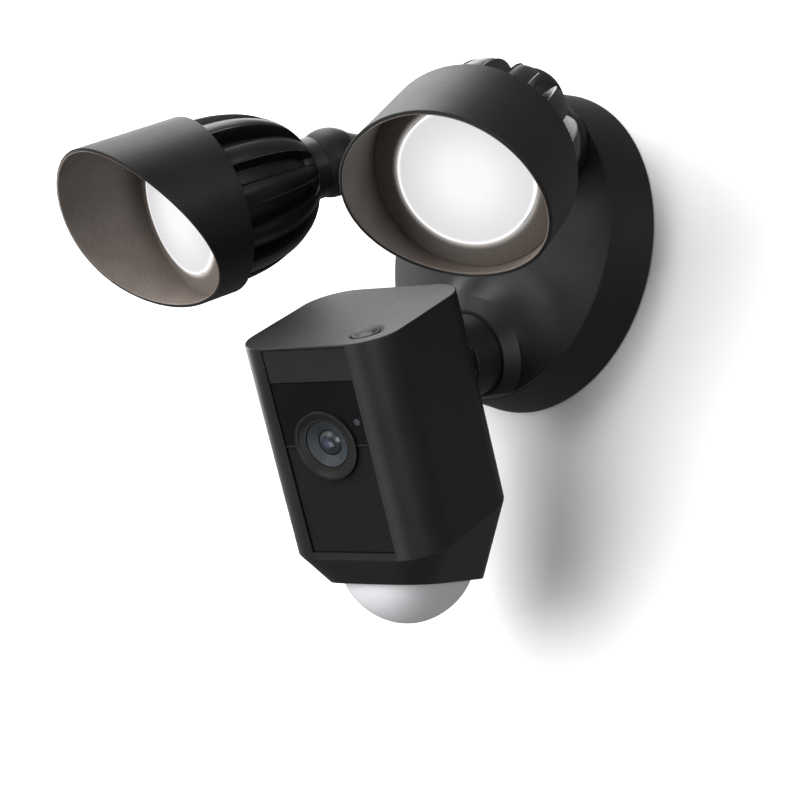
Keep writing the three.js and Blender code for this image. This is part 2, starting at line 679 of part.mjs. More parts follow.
function frontPieces() {
  const half = PANEL_WIDTH / 2 - GAP;
  const face = BODY_FRONT;
  const low = PANEL_BOTTOM;
  const split = GAP / 2;
  const ringHole = rod(LENS_RING_RADIUS + GAP, 60, 100).translate(0, 0, LEDGE_LINE);
  const eyeHole = rod(1.9, 60, 100, SMALL).translate(SENSOR_X, 0, SENSOR_Z);
  const eye = rod(1.6, 82, 85.3, SMALL).translate(SENSOR_X, 0, SENSOR_Z);
  const flange = block(
    [-FLANGE_HALF_WIDTH, face + 3.5, low - 2.4],
    [FLANGE_HALF_WIDTH, face + 5.2, BODY_TOP - 3.4],
  );
  const band = block([-half, face + 0.8, BAND_LINE], [half, face + 4, PANEL_TOP - GAP]);
  const soundHole = block([-14, face, low + 8], [14, face + 8, LEDGE_LINE - LENS_RING_RADIUS - 2]);
  const windowPane = block([-half, face + 0.6, LEDGE_LINE + split], [half, face + 2.6, BAND_LINE - GAP]);
  const mesh = block([-half, face + 0.9, low + GAP], [half, face + 2.6, LEDGE_LINE - split]);
  return [
    piece("front_frame", cut(join(flange, band), ringHole, eyeHole, soundHole), BLACK_SHELL),
    piece("front_window", cut(windowPane, ringHole, eyeHole), DARK_GLASS),
    piece("speaker_mesh", cut(mesh, ringHole), MESH_GRILLE),
    piece("light_sensor", eye, DARK_GLASS),
  ];
}

function lensPieces() {
  const front = -BODY_FRONT;
  const outer = LENS_RING_RADIUS;
  const iris = IRIS_RING_RADIUS;
  const ring = turned([
    [iris + GAP, front - 7], [outer, front - 7], [outer, front + 0.3], [outer - 0.5, front + 0.8],
    [outer - 1.2, front + 0.8], [iris + 1.4, front - 0.6], [iris + GAP, front - 0.6],
    [iris + GAP, front - 7],
  ], FINE);
  const inner = turned([
    [5.6, front - 8], [iris, front - 8], [iris, front - 0.8], [5.6, front - 3], [5.6, front - 8],
  ]);
  const barrel = cut(rod(5.3, front - 19, front - 3.6), rod(3.8, front - 12, front));
  const bulge = arcProfile(7.1, front - 8.1, 47, 0, 3);
  const glass = turned([[0, front - 3.3], [5.2, front - 3.3], ...bulge], COARSE);
  return [
    piece("lens_ring", ring, BLACK_SHELL),
    piece("iris_ring", inner, IRIS_RING),
    piece("lens_barrel", barrel, BLACK_METAL),
    piece("lens_glass", glass, LENS_GLASS),
  ];
}

function socketHousing() {
  const back = -BODY_BACK - GAP;
  const housing = turned([
    [0, back], [17, back], [17, back - 2], [13.4, back - 3], [13.4, -2.4], [12.8, -3], [0, -3],
  ], COARSE);
  return cut(housing, ball(BALL_RADIUS + 7 * GAP, COARSE), rod(STEM_RADIUS, 5, 12, SMALL));
}

function camera() {
  const cupOutside = arcProfile(BALL_RADIUS + 5 * GAP, 0, 26, 106, 7);
  const cupInside = arcProfile(BALL_RADIUS + GAP, 0, 106, 26, 7);
  const cup = turned([...cupOutside, ...cupInside, cupOutside[0]], COARSE);
  const board = block([-28, BODY_FRONT + 19.5, -44], [28, BODY_FRONT + 21, 27]);
  const switchBoard = join(
    block([BUTTON_X - 11, BUTTON_Y - 6, 29], [BUTTON_X + 9, BUTTON_Y + 12, 30.6]),
    block([BUTTON_X - 3, BUTTON_Y - 3, 30], [BUTTON_X + 3, BUTTON_Y + 3, 34.9]),
  );
  const button = turned([
    [0, 36.2], [7.6, 36.2], [7.6, 37.6], [BUTTON_RADIUS, 37.6], [BUTTON_RADIUS, BODY_TOP - 0.7],
    [BUTTON_RADIUS - 0.5, BODY_TOP - 0.3], [0, BODY_TOP - 0.5],
  ]);
  button.rotateX(-Math.PI / 2).translate(BUTTON_X, BUTTON_Y, 0);
  const sensorCan = turned([[0, -1.2], [4.6, -1.2], [4.6, 2.6], [0, 2.6]]);
  const fixed = [
    piece("ball_socket", socketHousing(), BLACK_SHELL),
    piece("camera_shell", cameraShell(), BLACK_SHELL),
    piece("chin", chin(), BLACK_SHELL),
    ...frontPieces(),
    group(at(0, 0, LEDGE_LINE), [0, 0, 0], ...lensPieces()),
    piece("speaker", rod(12, 70, 80.2).translate(0, 0, -33), RUBBER),
    piece("main_board", board, BOARD),
    piece("switch_board", switchBoard, BOARD),
    group(UNDERSIDE, UNDERSIDE_TURN,
      piece("motion_dome", motionDome(), DOME_PLASTIC),
      piece("sensor_board", rod(14, -3, -1.5), BOARD),
      piece("motion_sensor", sensorCan, STEEL)),
  ];
  return [
    piece("friction_cup", cup, WHITE_PART),
    ...fixed,
    piece("setup_button", button, BLACK_SHELL),
  ];
}

// ---- assembly ----
const product = new THREE.Group();
product.add(...wallBase());
for (const side of [LEFT, RIGHT]) {
  const { swivel, tilt, turn } = LAMP_POSE[side];
  const neck = piece(`lamp_neck_${sideName(side)}`, lampNeck(), BLACK_SHELL);
  const head = group(ORIGIN, [tilt, 0, 0], neck, group(ORIGIN, [0, turn, 0], ...lampHead(side)));
  const arm = group(ORIGIN, [0, -swivel, 0], ...lampArm(side), head);
  product.add(group(knuckleOf(side), armTurn(side), arm));
}
const { yaw, pitch, roll } = CAMERA_POSE;
product.add(group(NECK_MOUTH, [NECK_DROOP, 0, 0], ...cameraNeck()));
const droop = new THREE.Euler(rad(NECK_DROOP), 0, 0);
const ballCentre = at(0, -BALL_FORWARD, 0).applyEuler(droop).add(NECK_MOUTH);
product.add(group(ballCentre, [pitch, roll, yaw], ...camera()));

export default product;
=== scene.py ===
import json
import math

import bmesh
import bpy
from mathutils import Matrix, Vector

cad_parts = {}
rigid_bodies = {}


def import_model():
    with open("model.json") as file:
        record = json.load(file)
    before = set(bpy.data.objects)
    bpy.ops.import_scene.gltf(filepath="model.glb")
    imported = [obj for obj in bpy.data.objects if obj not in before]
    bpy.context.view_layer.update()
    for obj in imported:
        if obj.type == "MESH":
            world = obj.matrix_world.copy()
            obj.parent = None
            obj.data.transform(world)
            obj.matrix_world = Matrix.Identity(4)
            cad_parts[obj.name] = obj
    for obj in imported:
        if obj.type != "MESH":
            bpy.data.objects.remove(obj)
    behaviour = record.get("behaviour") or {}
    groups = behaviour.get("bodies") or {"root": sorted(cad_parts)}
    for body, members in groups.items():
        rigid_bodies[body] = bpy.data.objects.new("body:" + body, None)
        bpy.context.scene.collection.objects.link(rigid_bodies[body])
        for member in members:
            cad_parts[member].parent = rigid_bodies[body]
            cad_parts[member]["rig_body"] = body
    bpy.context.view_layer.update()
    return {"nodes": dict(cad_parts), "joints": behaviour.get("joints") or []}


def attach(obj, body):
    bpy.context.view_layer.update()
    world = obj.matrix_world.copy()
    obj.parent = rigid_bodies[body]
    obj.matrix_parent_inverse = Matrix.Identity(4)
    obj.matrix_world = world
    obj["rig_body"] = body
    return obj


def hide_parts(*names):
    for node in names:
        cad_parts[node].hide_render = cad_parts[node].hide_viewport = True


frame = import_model()

# A wall-mounted floodlight security camera. Every piece is drawn in millimetres in its own
# frame (x right, -y forward, z up) and stood where the frame's joints put it.
MM = 0.001
NODES = frame["nodes"]
JOINTS = {joint["name"]: joint for joint in frame["joints"]}
SIDES = ("left", "right")

# wall base
BASE_RADIUS = 75
BASE_EDGE_RADIUS = 72
BASE_EDGE_FORWARD = 25.1
BASE_CROWN = 29.2
COVER_WALL = 3.2
BRACKET_RADIUS = 66
BRACKET_THICKNESS = 2.5
INLET_HEIGHT = -28
INLET_RADIUS = 11
TAB_RADIUS = 66.6
TAB_WIDTH = 14
TAB_REACH = 14
FIXING_SLOT = (16, 5)
FIXING_SPREAD = 72
SCREW_ANGLES = {"top": 90, "low": 210}
SCREW_FORWARD = 9
SCREW_SEAT = 72.6
SCREW_HEAD_RADIUS = 3.2
SCREW_RADIUS = 1.5
GAP = 0.3

# lamp arms and heads, drawn from the centre of the knuckle ball
KNUCKLE_RADIUS = 16.5
ARM_RADIUS = 14.5
ARM_LENGTH = 47.6
ARM_BALL_RADIUS = 18.3
ARM_RAISE = 1.5
SOCKET_RADIUS = 22
SPINDLE_RADIUS = 6.5
SPINDLE_END = -75
TONGUE_THICKNESS = 8
TONGUE_SWING = (-4, 58)
PIN_RADIUS = 3
PIN_REACH = 12.3
COLLAR_RADIUS = 14.9
COLLAR_END = 15.6
SPIGOT_RADIUS = 9
SPIGOT_LENGTH = 9.4
SINK_RADIUS = 38.6
SINK_LENGTH = 56.3
SINK_FRONT = 68.8
SINK_FULLNESS = 2.3
PETALS = 12
GROOVE_DEPTH = 6.2
GROOVE_FADE = 6
GROOVE_CORE = 20
LIP_HEIGHT = 0.7
PETAL_CROWN = 1.2
GROOVE_SHARE = 0.4  # this and the next three are parts of half a petal's pitch
GROOVE_WALL = 0.07
LIP_PLACE = 0.1
LIP_WIDTH = 0.035
SHADE_REAR = 69.1
SHADE_RADIUS = 41.9
SHADE_WALL = 1.9
SHADE_LENGTH = 37.9
SHADE_PEAK = 18.5
SHADE_CURL = 2.8
SHADE_STRAIGHT = 4
SHADE_RING_STEP = 3.4
SHADE_FLOOR = 2.2
LENS_RADIUS = 28.7
LENS_FORWARD = 83.2
LAMP_ROLL = {"left": 10.6, "right": -5.3}

# camera neck, drawn from the centre of its opening in the base
NECK_RADIUS = 18.9
NECK_FRONT = 14.5
NECK_BORE_DEPTH = 12
NECK_SPINDLE_RADIUS = 10
NECK_FOOT = -11.7
NECK_GROOVE = (-8, -5.6)
NECK_GROOVE_DEPTH = 1.8
BOSS_RADIUS = 25.6
BOSS_EDGE = -5.6
BOSS_FLOOR = -16
BOSS_SKIRT = -27
SWELL_WIDTH = 22
STEM_RADIUS = 5
BALL_RADIUS = 9.5
BALL_FORWARD = 26.2

# camera, drawn from the centre of its ball
BODY_WIDTH = 76.9
BODY_DEPTH = 75.8
BODY_CORNER = 18.5
BODY_BACK = -10
BODY_TOP = 41.7
BODY_SEAM = -54.1
BODY_WALL = 2.6
BODY_MIDDLE = BODY_BACK - BODY_DEPTH / 2
BODY_FRONT = BODY_BACK - BODY_DEPTH
PANEL_WIDTH = 42.6
PANEL_TOP = BODY_TOP - 1
PANEL_BOTTOM = BODY_TOP - 92.5
BAND_LINE = BODY_TOP - 15.6
LEDGE_LINE = BODY_TOP - 43.4
LEDGE_HEIGHT = 0.7
LENS_RING_RADIUS = 15.2
IRIS_RADIUS = 10
SENSOR_X = 17.8
SENSOR_Z = LEDGE_LINE + 9.6
CHIN_DROP = 11.3
CHIN_SLOPE = 21.9
CHIN_SCALE = 0.7
CHIN_SHIFT = -5.7
CHIN_TOP = BODY_SEAM - GAP / 6
DOME_RADIUS = 25.6
DOME_SQUARE = 2.6
DOME_HEIGHT = 18.5
BUTTON_X = 21.7
BUTTON_Y = BODY_MIDDLE - 22.2
BUTTON_RADIUS = 6.4
DISH_RADIUS = 9.2

ROUND = 144  # facets round a large turned piece
SMALL_ROUND = 48


# ---- the frames that the joints give ----
def standing(origin, right, back):
    """The matrix of a piece's own frame, from its origin and its x and y directions."""
    right, back = Vector(right).normalized(), Vector(back).normalized()
    up = right.cross(back).normalized()
    back = up.cross(right)
    matrix = Matrix((right, back, up)).transposed().to_4x4()
    matrix.translation = Vector(origin)
    return matrix


def spun(degrees, axis):
    return Matrix.Rotation(math.radians(degrees), 4, axis)


def joint_line(name):
    joint = JOINTS[name]
    return Vector(joint.get("pos_m", (0, 0, 0))), Vector(joint["axis"])


def arm_frame(side):
    centre, forward = joint_line(f"arm_swivel_{side}")
    return standing(centre, joint_line(f"knuckle_tilt_{side}")[1], -forward)


def neck_of_lamp_frame(side):
    centre, back = joint_line(f"lamp_turn_{side}")
    return standing(centre, joint_line(f"knuckle_tilt_{side}")[1], back)


def head_frame(side):
    return neck_of_lamp_frame(side) @ spun(LAMP_ROLL[side], "Y")


def neck_frame():
    centre, forward = joint_line("neck_turn")
    return standing(centre, (1, 0, 0), -forward)


def camera_frame():
    centre, right = joint_line("camera_tilt")
    down = joint_line("button_press")[1]
    return standing(centre, right, (-down).cross(right))


BASE = Matrix.Identity(4)
NECK = neck_frame()
CAMERA = camera_frame()


# ---- meshes ----
def from_points(name, points, faces):
    """An object whose points are in millimetres, with its faces turned outwards."""
    mesh = bpy.data.meshes.new(name)
    mesh.from_pydata([Vector(point) * MM for point in points], [], faces)
    shape = bmesh.new()
    shape.from_mesh(mesh)
    bmesh.ops.remove_doubles(shape, verts=shape.verts, dist=1e-7)
    bmesh.ops.recalc_face_normals(shape, faces=shape.faces)
    shape.to_mesh(mesh)
    shape.free()
    made = bpy.data.objects.new(name, mesh)
    bpy.context.scene.collection.objects.link(made)
    return made


def eased(outline, radius, steps=3):
    """The outline with each of its corners rounded, by up to that radius."""
    closed = outline[0] == outline[-1]
    corners = [Vector(point) for point in (outline[:-1] if closed else outline)]
    rounded = []
    for i, corner in enumerate(corners):
        at_end = i in (0, len(corners) - 1)
        if at_end and not closed:
            rounded.append(corner)
            continue
        back, ahead = corners[i - 1] - corner, corners[(i + 1) % len(corners)] - corner
        angle = back.angle(ahead)
        if angle > math.radians(170):
            rounded.append(corner)
            continue
        reach = min(radius / math.tan(angle / 2), 0.45 * back.length, 0.45 * ahead.length)
        start, end = corner + back.normalized() * reach, corner + ahead.normalized() * reach
        for step in range(steps + 1):
            t = step / steps
            rounded.append(start * (1 - t) ** 2 + corner * (2 * t * (1 - t)) + end * t ** 2)
    if closed:
        rounded.append(rounded[0])
    return [tuple(point) for point in rounded]


def turned(name, profile, segments=ROUND, move=None):
    """A solid turned about the forward axis; the profile lists (radius, forward)."""
    points, faces, rings = [], [], []
    for radius, forward in profile:
        ring = []
        for i in range(segments):
            angle = math.tau * i / segments
            point = Vector((radius * math.sin(angle), -forward, radius * math.cos(angle)))
            ring.append(len(points))
            points.append(move(point) if move else point)
        rings.append(ring)
    for near, far in zip(rings, rings[1:]):
        for i in range(segments):
            j = (i + 1) % segments
            faces.append((near[i], near[j], far[j], far[i]))
    return from_points(name, points, faces)


def arc(radius, centre, first, last, steps):
    """Profile points of a circle centred on the forward axis, angles measured from forward."""
    points = []
    for i in range(steps + 1):
        angle = math.radians(first + (last - first) * i / steps)
        points.append((max(0.0, radius * math.sin(angle)), centre + radius * math.cos(angle)))
    return points


def rod(name, radius, first, last, ease=0.0, segments=SMALL_ROUND):
    profile = [(0, first), (radius, first), (radius, last), (0, last)]
    return turned(name, eased(profile, ease) if ease else profile, segments)


def ball(name, radius, centre=(0, 0, 0), segments=96):
    return shifted(turned(name, arc(radius, 0, 0, 180, segments // 2), segments), *centre)


def rounded_outline(width, depth, radius, steps=12):
    corners = [(1, 1, 0), (-1, 1, 90), (-1, -1, 180), (1, -1, 270)]
    outline = []
    for x, y, first in corners:
        for i in range(steps + 1):
            angle = math.radians(first + 90 * i / steps)
            outline.append((
                x * (width / 2 - radius) + radius * math.cos(angle),
                y * (depth / 2 - radius) + radius * math.sin(angle),
            ))
    return outline


def stacked(name, rings):
    """A solid through level rings of equal point counts, closed at both ends."""
    count = len(rings[0])
    points = [point for ring in rings for point in ring]
    faces = [tuple(range(count)), tuple(range(len(points) - count, len(points)))]
    for level in range(len(rings) - 1):
        for i in range(count):
            j = (i + 1) % count
            a, b = level * count, (level + 1) * count
            faces.append((a + i, a + j, b + j, b + i))
    return from_points(name, points, faces)


def prism(name, size, radius, low, high, ease=0.5, middle=(0, 0), steps=12, low_ease=None):
    """An upright block with rounded corners and eased ends; the low end may have its own ease."""
    width, depth = size
    rings = []
    for end, inward, soft in ((low, 1, low_ease or ease), (high, -1, ease)):
        turn = []
        for i in range(4):
            angle = math.radians(90 * i / 3)
            inset = soft * (1 - math.sin(angle))
            level = end + inward * soft * (1 - math.cos(angle))
            corner = max(radius - inset, 0.05)
            outline = rounded_outline(width - 2 * inset, depth - 2 * inset, corner, steps)
            turn.append([(x + middle[0], y + middle[1], level) for x, y in outline])
        rings += turn if inward == 1 else turn[::-1]
    return stacked(name, rings)


def block(name, low, high, ease=0.25):
    """A box between two corners with its edges eased."""
    width, depth = high[0] - low[0], high[1] - low[1]
    middle = ((high[0] + low[0]) / 2, (high[1] + low[1]) / 2)
    return prism(name, (width, depth), ease, low[2], high[2], ease, middle, steps=3)


def moved(made, matrix):
    """Shifts and turns a shape inside its own frame; the matrix is in millimetres."""
    matrix = matrix.copy()
    matrix.translation = matrix.translation * MM
    made.data.transform(matrix)
    return made


def shifted(made, x, y, z):
    return moved(made, Matrix.Translation((x, y, z)))


def shaped(made, operation, *tools):
    """Joins tools to the piece or cuts them out of it, and removes the tools."""
    for tool in tools:
        change = made.modifiers.new("shape", "BOOLEAN")
        change.operation = operation
        change.solver = "EXACT"
        change.object = tool
        bpy.context.view_layer.update()
        seen = made.evaluated_get(bpy.context.evaluated_depsgraph_get())
        result = bpy.data.meshes.new_from_object(seen)
        made.modifiers.clear()
        made.data = result
        bpy.data.objects.remove(tool)
    return made


def cut(made, *tools):
    return shaped(made, "DIFFERENCE", *tools)


def joined(made, *tools):
    return shaped(made, "UNION", *tools)


def kept_in(made, tool):
    return shaped(made, "INTERSECT", tool)


def edged(made, width, angle=35):
    """Breaks the sharp edges that are left after cutting."""
    bevel = made.modifiers.new("edges", "BEVEL")
    bevel.width = width * MM
    bevel.segments = 2
    bevel.limit_method = "ANGLE"
    bevel.angle_limit = math.radians(angle)
    bevel.use_clamp_overlap = True
    return made


def smooth(made):
    """Rounds the shading over curves and keeps flat faces flat."""
    made.data.shade_smooth()
    made.data.set_sharp_from_angle(angle=math.radians(32))
    weighted = made.modifiers.new("flats", "WEIGHTED_NORMAL")
    weighted.keep_sharp = True
    weighted.weight = 100


def fitted(made, place, node, finish):
    """Stands a piece in its place for a node of the frame, and gives it its finish."""
    made.matrix_world = place
    made.data.materials.clear()
    made.data.materials.append(finish)
    smooth(made)
    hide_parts(node)
    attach(made, NODES[node]["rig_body"])
    return made


# ---- finishes ----
class Value:
    """A number that varies over a surface; arithmetic on it adds the nodes for it."""

    def __init__(self, finish, socket):
        self.finish = finish
        self.socket = socket

    def math(self, operation, *numbers):
        return self.finish.node("Math", {"operation": operation}, dict(enumerate(numbers)))

    def __add__(self, other):
        return self.math("ADD", self, other)

    __radd__ = __add__

    def __mul__(self, other):
        return self.math("MULTIPLY", self, other)

    def __sub__(self, other):
        return self.math("SUBTRACT", self, other)

    def __rsub__(self, other):
        return self.math("SUBTRACT", other, self)

    def __pow__(self, other):
        return self.math("POWER", self, other)

    def wave(self):
        return self.math("SINE", self)

    def between(self, low, high):
        """0 where the number is low, 1 where it is high, eased in between."""
        settings = {"interpolation_type": "SMOOTHSTEP"}
        sockets = {"Value": self, "From Min": low, "From Max": high}
        return self.finish.node("MapRange", settings, sockets)


class Finish:
    """One material, built from nodes around a Principled shader."""

    def __init__(self, name, **constants):
        self.material = bpy.data.materials.new(name)
        self.material.use_nodes = True
        self.tree = self.material.node_tree
        self.shader = next(node for node in self.tree.nodes if node.type == "BSDF_PRINCIPLED")
        self.set(**constants)

    def node(self, kind, settings, sockets, output=0):
        made = self.tree.nodes.new("ShaderNode" + kind)
        for key, value in settings.items():
            setattr(made, key, value)
        for key, value in sockets.items():
            self.feed(made.inputs[key], value)
        return Value(self, made.outputs[output])

    def feed(self, socket, value):
        if isinstance(value, Value):
            self.tree.links.new(value.socket, socket)
        else:
            socket.default_value = value

    def set(self, **sockets):
        for key, value in sockets.items():
            label = key.replace("_", " ").title().replace("Ior", "IOR")
            self.feed(self.shader.inputs[label], value)
        return self

    def place(self):
        """Where a point is in its piece's own frame, in metres."""
        return self.node("TexCoord", {}, {}, "Object")

    def axis(self, letter):
        return self.node("SeparateXYZ", {}, {0: self.place()}, letter)

    def from_axis(self):
        """How far a point is from its piece's forward axis, in metres."""
        x, z = self.axis("X"), self.axis("Z")
        return (x * x + z * z) ** 0.5

    def speckle(self, scale, detail=2.0, stretch=(1, 1, 1)):
        """Soft noise from 0 to 1, with that many lumps to a metre."""
        stretched = self.node("Mapping", {}, {"Vector": self.place(), "Scale": stretch})
        sockets = {"Vector": stretched, "Scale": scale, "Detail": detail, "Roughness": 0.55}
        return self.node("TexNoise", {}, sockets)

    def grain(self, scale):
        """The small pebbles of a textured moulding."""
        sockets = {"Vector": self.place(), "Scale": scale, "Smoothness": 0.6}
        return self.node("TexVoronoi", {"feature": "SMOOTH_F1"}, sockets)

    def convex_edges(self):
        """1 along convex edges, 0 elsewhere."""
        pointiness = self.node("NewGeometry", {}, {}, "Pointiness")
        return pointiness.between(0.53, 0.62)

    def mixed(self, share, first, second):
        sockets = {"Factor": share, 6: first, 7: second}
        return self.node("Mix", {"data_type": "RGBA"}, sockets, 2)

    def bump(self, height, depth):
        sockets = {"Height": height, "Distance": depth * MM, "Strength": 1.0}
        self.feed(self.shader.inputs["Normal"], self.node("Bump", {}, sockets))
        return self

    def textured(self, colour, roughness, height, depth):
        """The material, once it has its colour, its roughness and its bumps."""
        self.set(base_color=colour, roughness=roughness)
        return self.bump(height, depth).material


def grey(level):
    return (level, level, level, 1)


def moulding(name, level, roughness, pebble=1500, depth=0.03):
    """Textured moulded plastic: fine pebbles, a little dust, and convex edges a little lighter and less
    rough.
    """
    finish = Finish(name, specular_ior_level=0.4)
    cloud = finish.speckle(45)
    fine = finish.speckle(900, 3)
    base = finish.mixed(cloud.between(0.35, 0.7), grey(level * 0.85), grey(level * 1.15))
    edge = finish.convex_edges()
    # lighter colour and lower roughness along convex edges
    finish.set(
        base_color=finish.mixed(edge * 0.35, base, grey(level * 2.2)),
        roughness=roughness + (fine - 0.5) * 0.12 + (cloud - 0.5) * 0.08 - edge * 0.08,
    )
    return finish.bump(finish.grain(pebble) + fine * 0.5, depth).material


def cast_metal():
    """Powder-coated casting, with a fine orange-peel surface."""
    finish = Finish("cast_metal")
    peel = finish.speckle(700)
    broad = finish.speckle(60)
    edge = finish.convex_edges()
    base = finish.mixed(broad.between(0.3, 0.7), grey(0.012), grey(0.018))
    # lighter colour and lower roughness along convex edges
    colour = finish.mixed(edge * 0.5, base, grey(0.05))
    return finish.textured(colour, 0.36 + (peel - 0.5) * 0.15 - edge * 0.05, peel, 0.05)


def shade_lining():
    """Warm grey inner face of a shade, with sparkling fine grain."""
    finish = Finish("shade_lining")
    spark = finish.speckle(1600)
    cloud = finish.speckle(70)
    base = finish.mixed(cloud.between(0.3, 0.75), (0.17, 0.14, 0.12, 1), (0.21, 0.178, 0.155, 1))
    colour = finish.mixed(spark.between(0.45, 0.8), base, (0.29, 0.25, 0.225, 1))
    return finish.textured(colour, 0.5 + (spark - 0.5) * 0.2, finish.grain(1700), 0.03)


def bezel_painted_glow():
    """The lining next to the lens, with painted light: a paler colour and a glow that stand in for the light
    spilling over the lens's edge.
    """
    finish = Finish("bezel_painted_glow")
    spark = finish.speckle(1600)
    from_lens = finish.from_axis() - LENS_RADIUS * MM
    # painted light spill: strongest at the lens's rim, gone about 3 mm beyond it
    painted_spill = 1 - from_lens.between(-0.5 * MM, 3.2 * MM)
    base = finish.mixed(spark.between(0.4, 0.8), (0.15, 0.128, 0.112, 1), (0.2, 0.175, 0.155, 1))
    # painted light: paler base colour and an emitted glow near the lens
    finish.set(
        base_color=finish.mixed(painted_spill, base, (0.4, 0.37, 0.35, 1)),
        emission_color=finish.mixed(painted_spill ** 2, (0, 0, 0, 1), (1, 0.97, 0.94, 1)),
        emission_strength=0.45,
        roughness=0.45 + (spark - 0.5) * 0.15,
    )
    return finish.bump(spark, 0.03).material


def lit_diffuser():
    """Milky cover in front of the light source: bright middle, softer towards a bright rim."""
    finish = Finish("lit_diffuser", roughness=0.35)
    radius = finish.from_axis()
    falling = radius.between(0.2 * LENS_RADIUS * MM, 0.95 * LENS_RADIUS * MM)
    rim = radius.between((LENS_RADIUS - 1.6) * MM, (LENS_RADIUS - 0.5) * MM)
    frost = finish.speckle(500)
    glow = finish.mixed(falling, (0.9, 0.9, 0.91, 1), (0.71, 0.7, 0.72, 1))
    finish.set(
        base_color=finish.mixed(frost, (0.09, 0.09, 0.09, 1), (0.12, 0.12, 0.12, 1)),
        emission_color=finish.mixed(rim, glow, (1, 1, 1, 1)),
        emission_strength=0.95,
    )
    return finish.bump(frost, 0.02).material


def dark_window():
    """Smooth smoked cover over the upper front, with faint polishing haze."""
    finish = Finish("dark_window", specular_ior_level=0.25)
    haze = finish.speckle(120, 3)
    colour = finish.mixed(haze, grey(0.003), grey(0.005))
    return finish.textured(colour, 0.2 + haze * 0.1, haze, 0.004)


def lens_glass():
    """Dark coated glass with a blue-violet bloom towards its middle."""
    finish = Finish("lens_glass", coat_weight=0.35, coat_roughness=0.06)
    radius = finish.from_axis()
    pupil = 1 - radius.between(0.8 * MM, 2.6 * MM)
    ring = radius.between(3.4 * MM, 3.9 * MM)
    coated = finish.mixed(ring, (0.02, 0.024, 0.034, 1), (0.05, 0.055, 0.06, 1))
    dust = finish.speckle(400)
    colour = finish.mixed(pupil, coated, (0.05, 0.055, 0.085, 1))
    return finish.textured(colour, 0.16 + dust * 0.06, dust, 0.002)


def iris_ring_finish():
    """Satin blue-grey ring with fine turning marks."""
    finish = Finish("iris_satin")
    marks = (finish.from_axis() * 14000).wave()
    wear = finish.speckle(300)
    finish.set(
        base_color=finish.mixed(wear, (0.03, 0.036, 0.042, 1), (0.045, 0.052, 0.06, 1)),
        roughness=0.36 + wear * 0.12,
        metallic=0.2,
    )
    return finish.bump(marks, 0.01).material


def speaker_cloth():
    """Diagonal woven cloth over the lower front."""
    finish = Finish("speaker_cloth", specular_ior_level=0.2)
    across, up = finish.axis("X"), finish.axis("Z")
    threads = math.tau / (0.95 * MM)
    one = ((across + up) * threads).wave()
    two = ((across - up) * threads * 0.5).wave()
    weave = 0.5 + one * 0.35 + two * 0.15
    fuzz = finish.speckle(2500)
    colour = finish.mixed(weave.between(0.25, 0.75), grey(0.003), grey(0.022))
    return finish.textured(colour, 0.6 + fuzz * 0.2, weave + fuzz * 0.1, 0.25)


def milky_dome():
    """Translucent sensor dome, pale and slightly cool, with light spreading through it and a faint painted
    glow that stands in for more of that light.
    """
    finish = Finish("milky_dome", coat_weight=0.12, coat_roughness=0.3)
    spread = (0.004, 0.004, 0.004)
    finish.set(subsurface_weight=0.25, subsurface_radius=spread, subsurface_scale=1.0)
    # painted glow: a faint even emission, as if the dome were lit from within
    finish.set(emission_color=(0.95, 0.97, 1, 1), emission_strength=0.09)
    cloud = finish.speckle(35)
    fine = finish.speckle(900)
    colour = finish.mixed(cloud, (0.8, 0.81, 0.83, 1), (0.85, 0.86, 0.88, 1))
    return finish.textured(colour, 0.42 + fine * 0.1, fine, 0.01)


def plated_steel():
    """Zinc-plated steel with brushed marks and a mottled tarnish."""
    finish = Finish("plated_steel", metallic=1.0)
    brushed = finish.speckle(900, 3, (0.06, 1, 1))
    tarnish = finish.speckle(40, 3)
    dull = tarnish.between(0.35, 0.75)
    colour = finish.mixed(dull, (0.5, 0.51, 0.53, 1), (0.36, 0.37, 0.38, 1))
    return finish.textured(colour, 0.26 + brushed * 0.2 + tarnish * 0.1, brushed, 0.01)


def rubber():
    finish = Finish("rubber")
    bloom = finish.speckle(150, 3)
    colour = finish.mixed(bloom.between(0.4, 0.8), grey(0.01), grey(0.022))
    return finish.textured(colour, 0.75 + bloom * 0.15, finish.speckle(1400), 0.03)


def circuit_board():
    """Green laminate with faint copper tracks."""
    finish = Finish("circuit_board", coat_weight=0.3)
    blocky = {"distance": "MANHATTAN", "feature": "F2"}
    cells = finish.node("TexVoronoi", blocky, {"Vector": finish.place(), "Scale": 260})
    track = cells.math("PINGPONG", cells, 0.12) * 8
    colour = finish.mixed(track.between(0.5, 0.8), (0.01, 0.07, 0.035, 1), (0.03, 0.14, 0.06, 1))
    return finish.textured(colour, 0.4 + finish.speckle(500) * 0.1, track, 0.02)


def white_moulding():
    finish = Finish("white_moulding")
    fine = finish.speckle(800)
    colour = finish.mixed(finish.speckle(60), (0.74, 0.73, 0.7, 1), (0.82, 0.81, 0.78, 1))
    return finish.textured(colour, 0.4 + fine * 0.12, fine, 0.02)


def phosphor():
    finish = Finish("phosphor", emission_strength=1.0, roughness=0.6)
    grainy = finish.speckle(700)
    finish.set(
        base_color=finish.mixed(grainy, (0.95, 0.8, 0.4, 1), (1, 0.88, 0.55, 1)),
        emission_color=finish.mixed(grainy, (1, 0.93, 0.78, 1), (1, 0.97, 0.88, 1)),
    )
    return finish.material


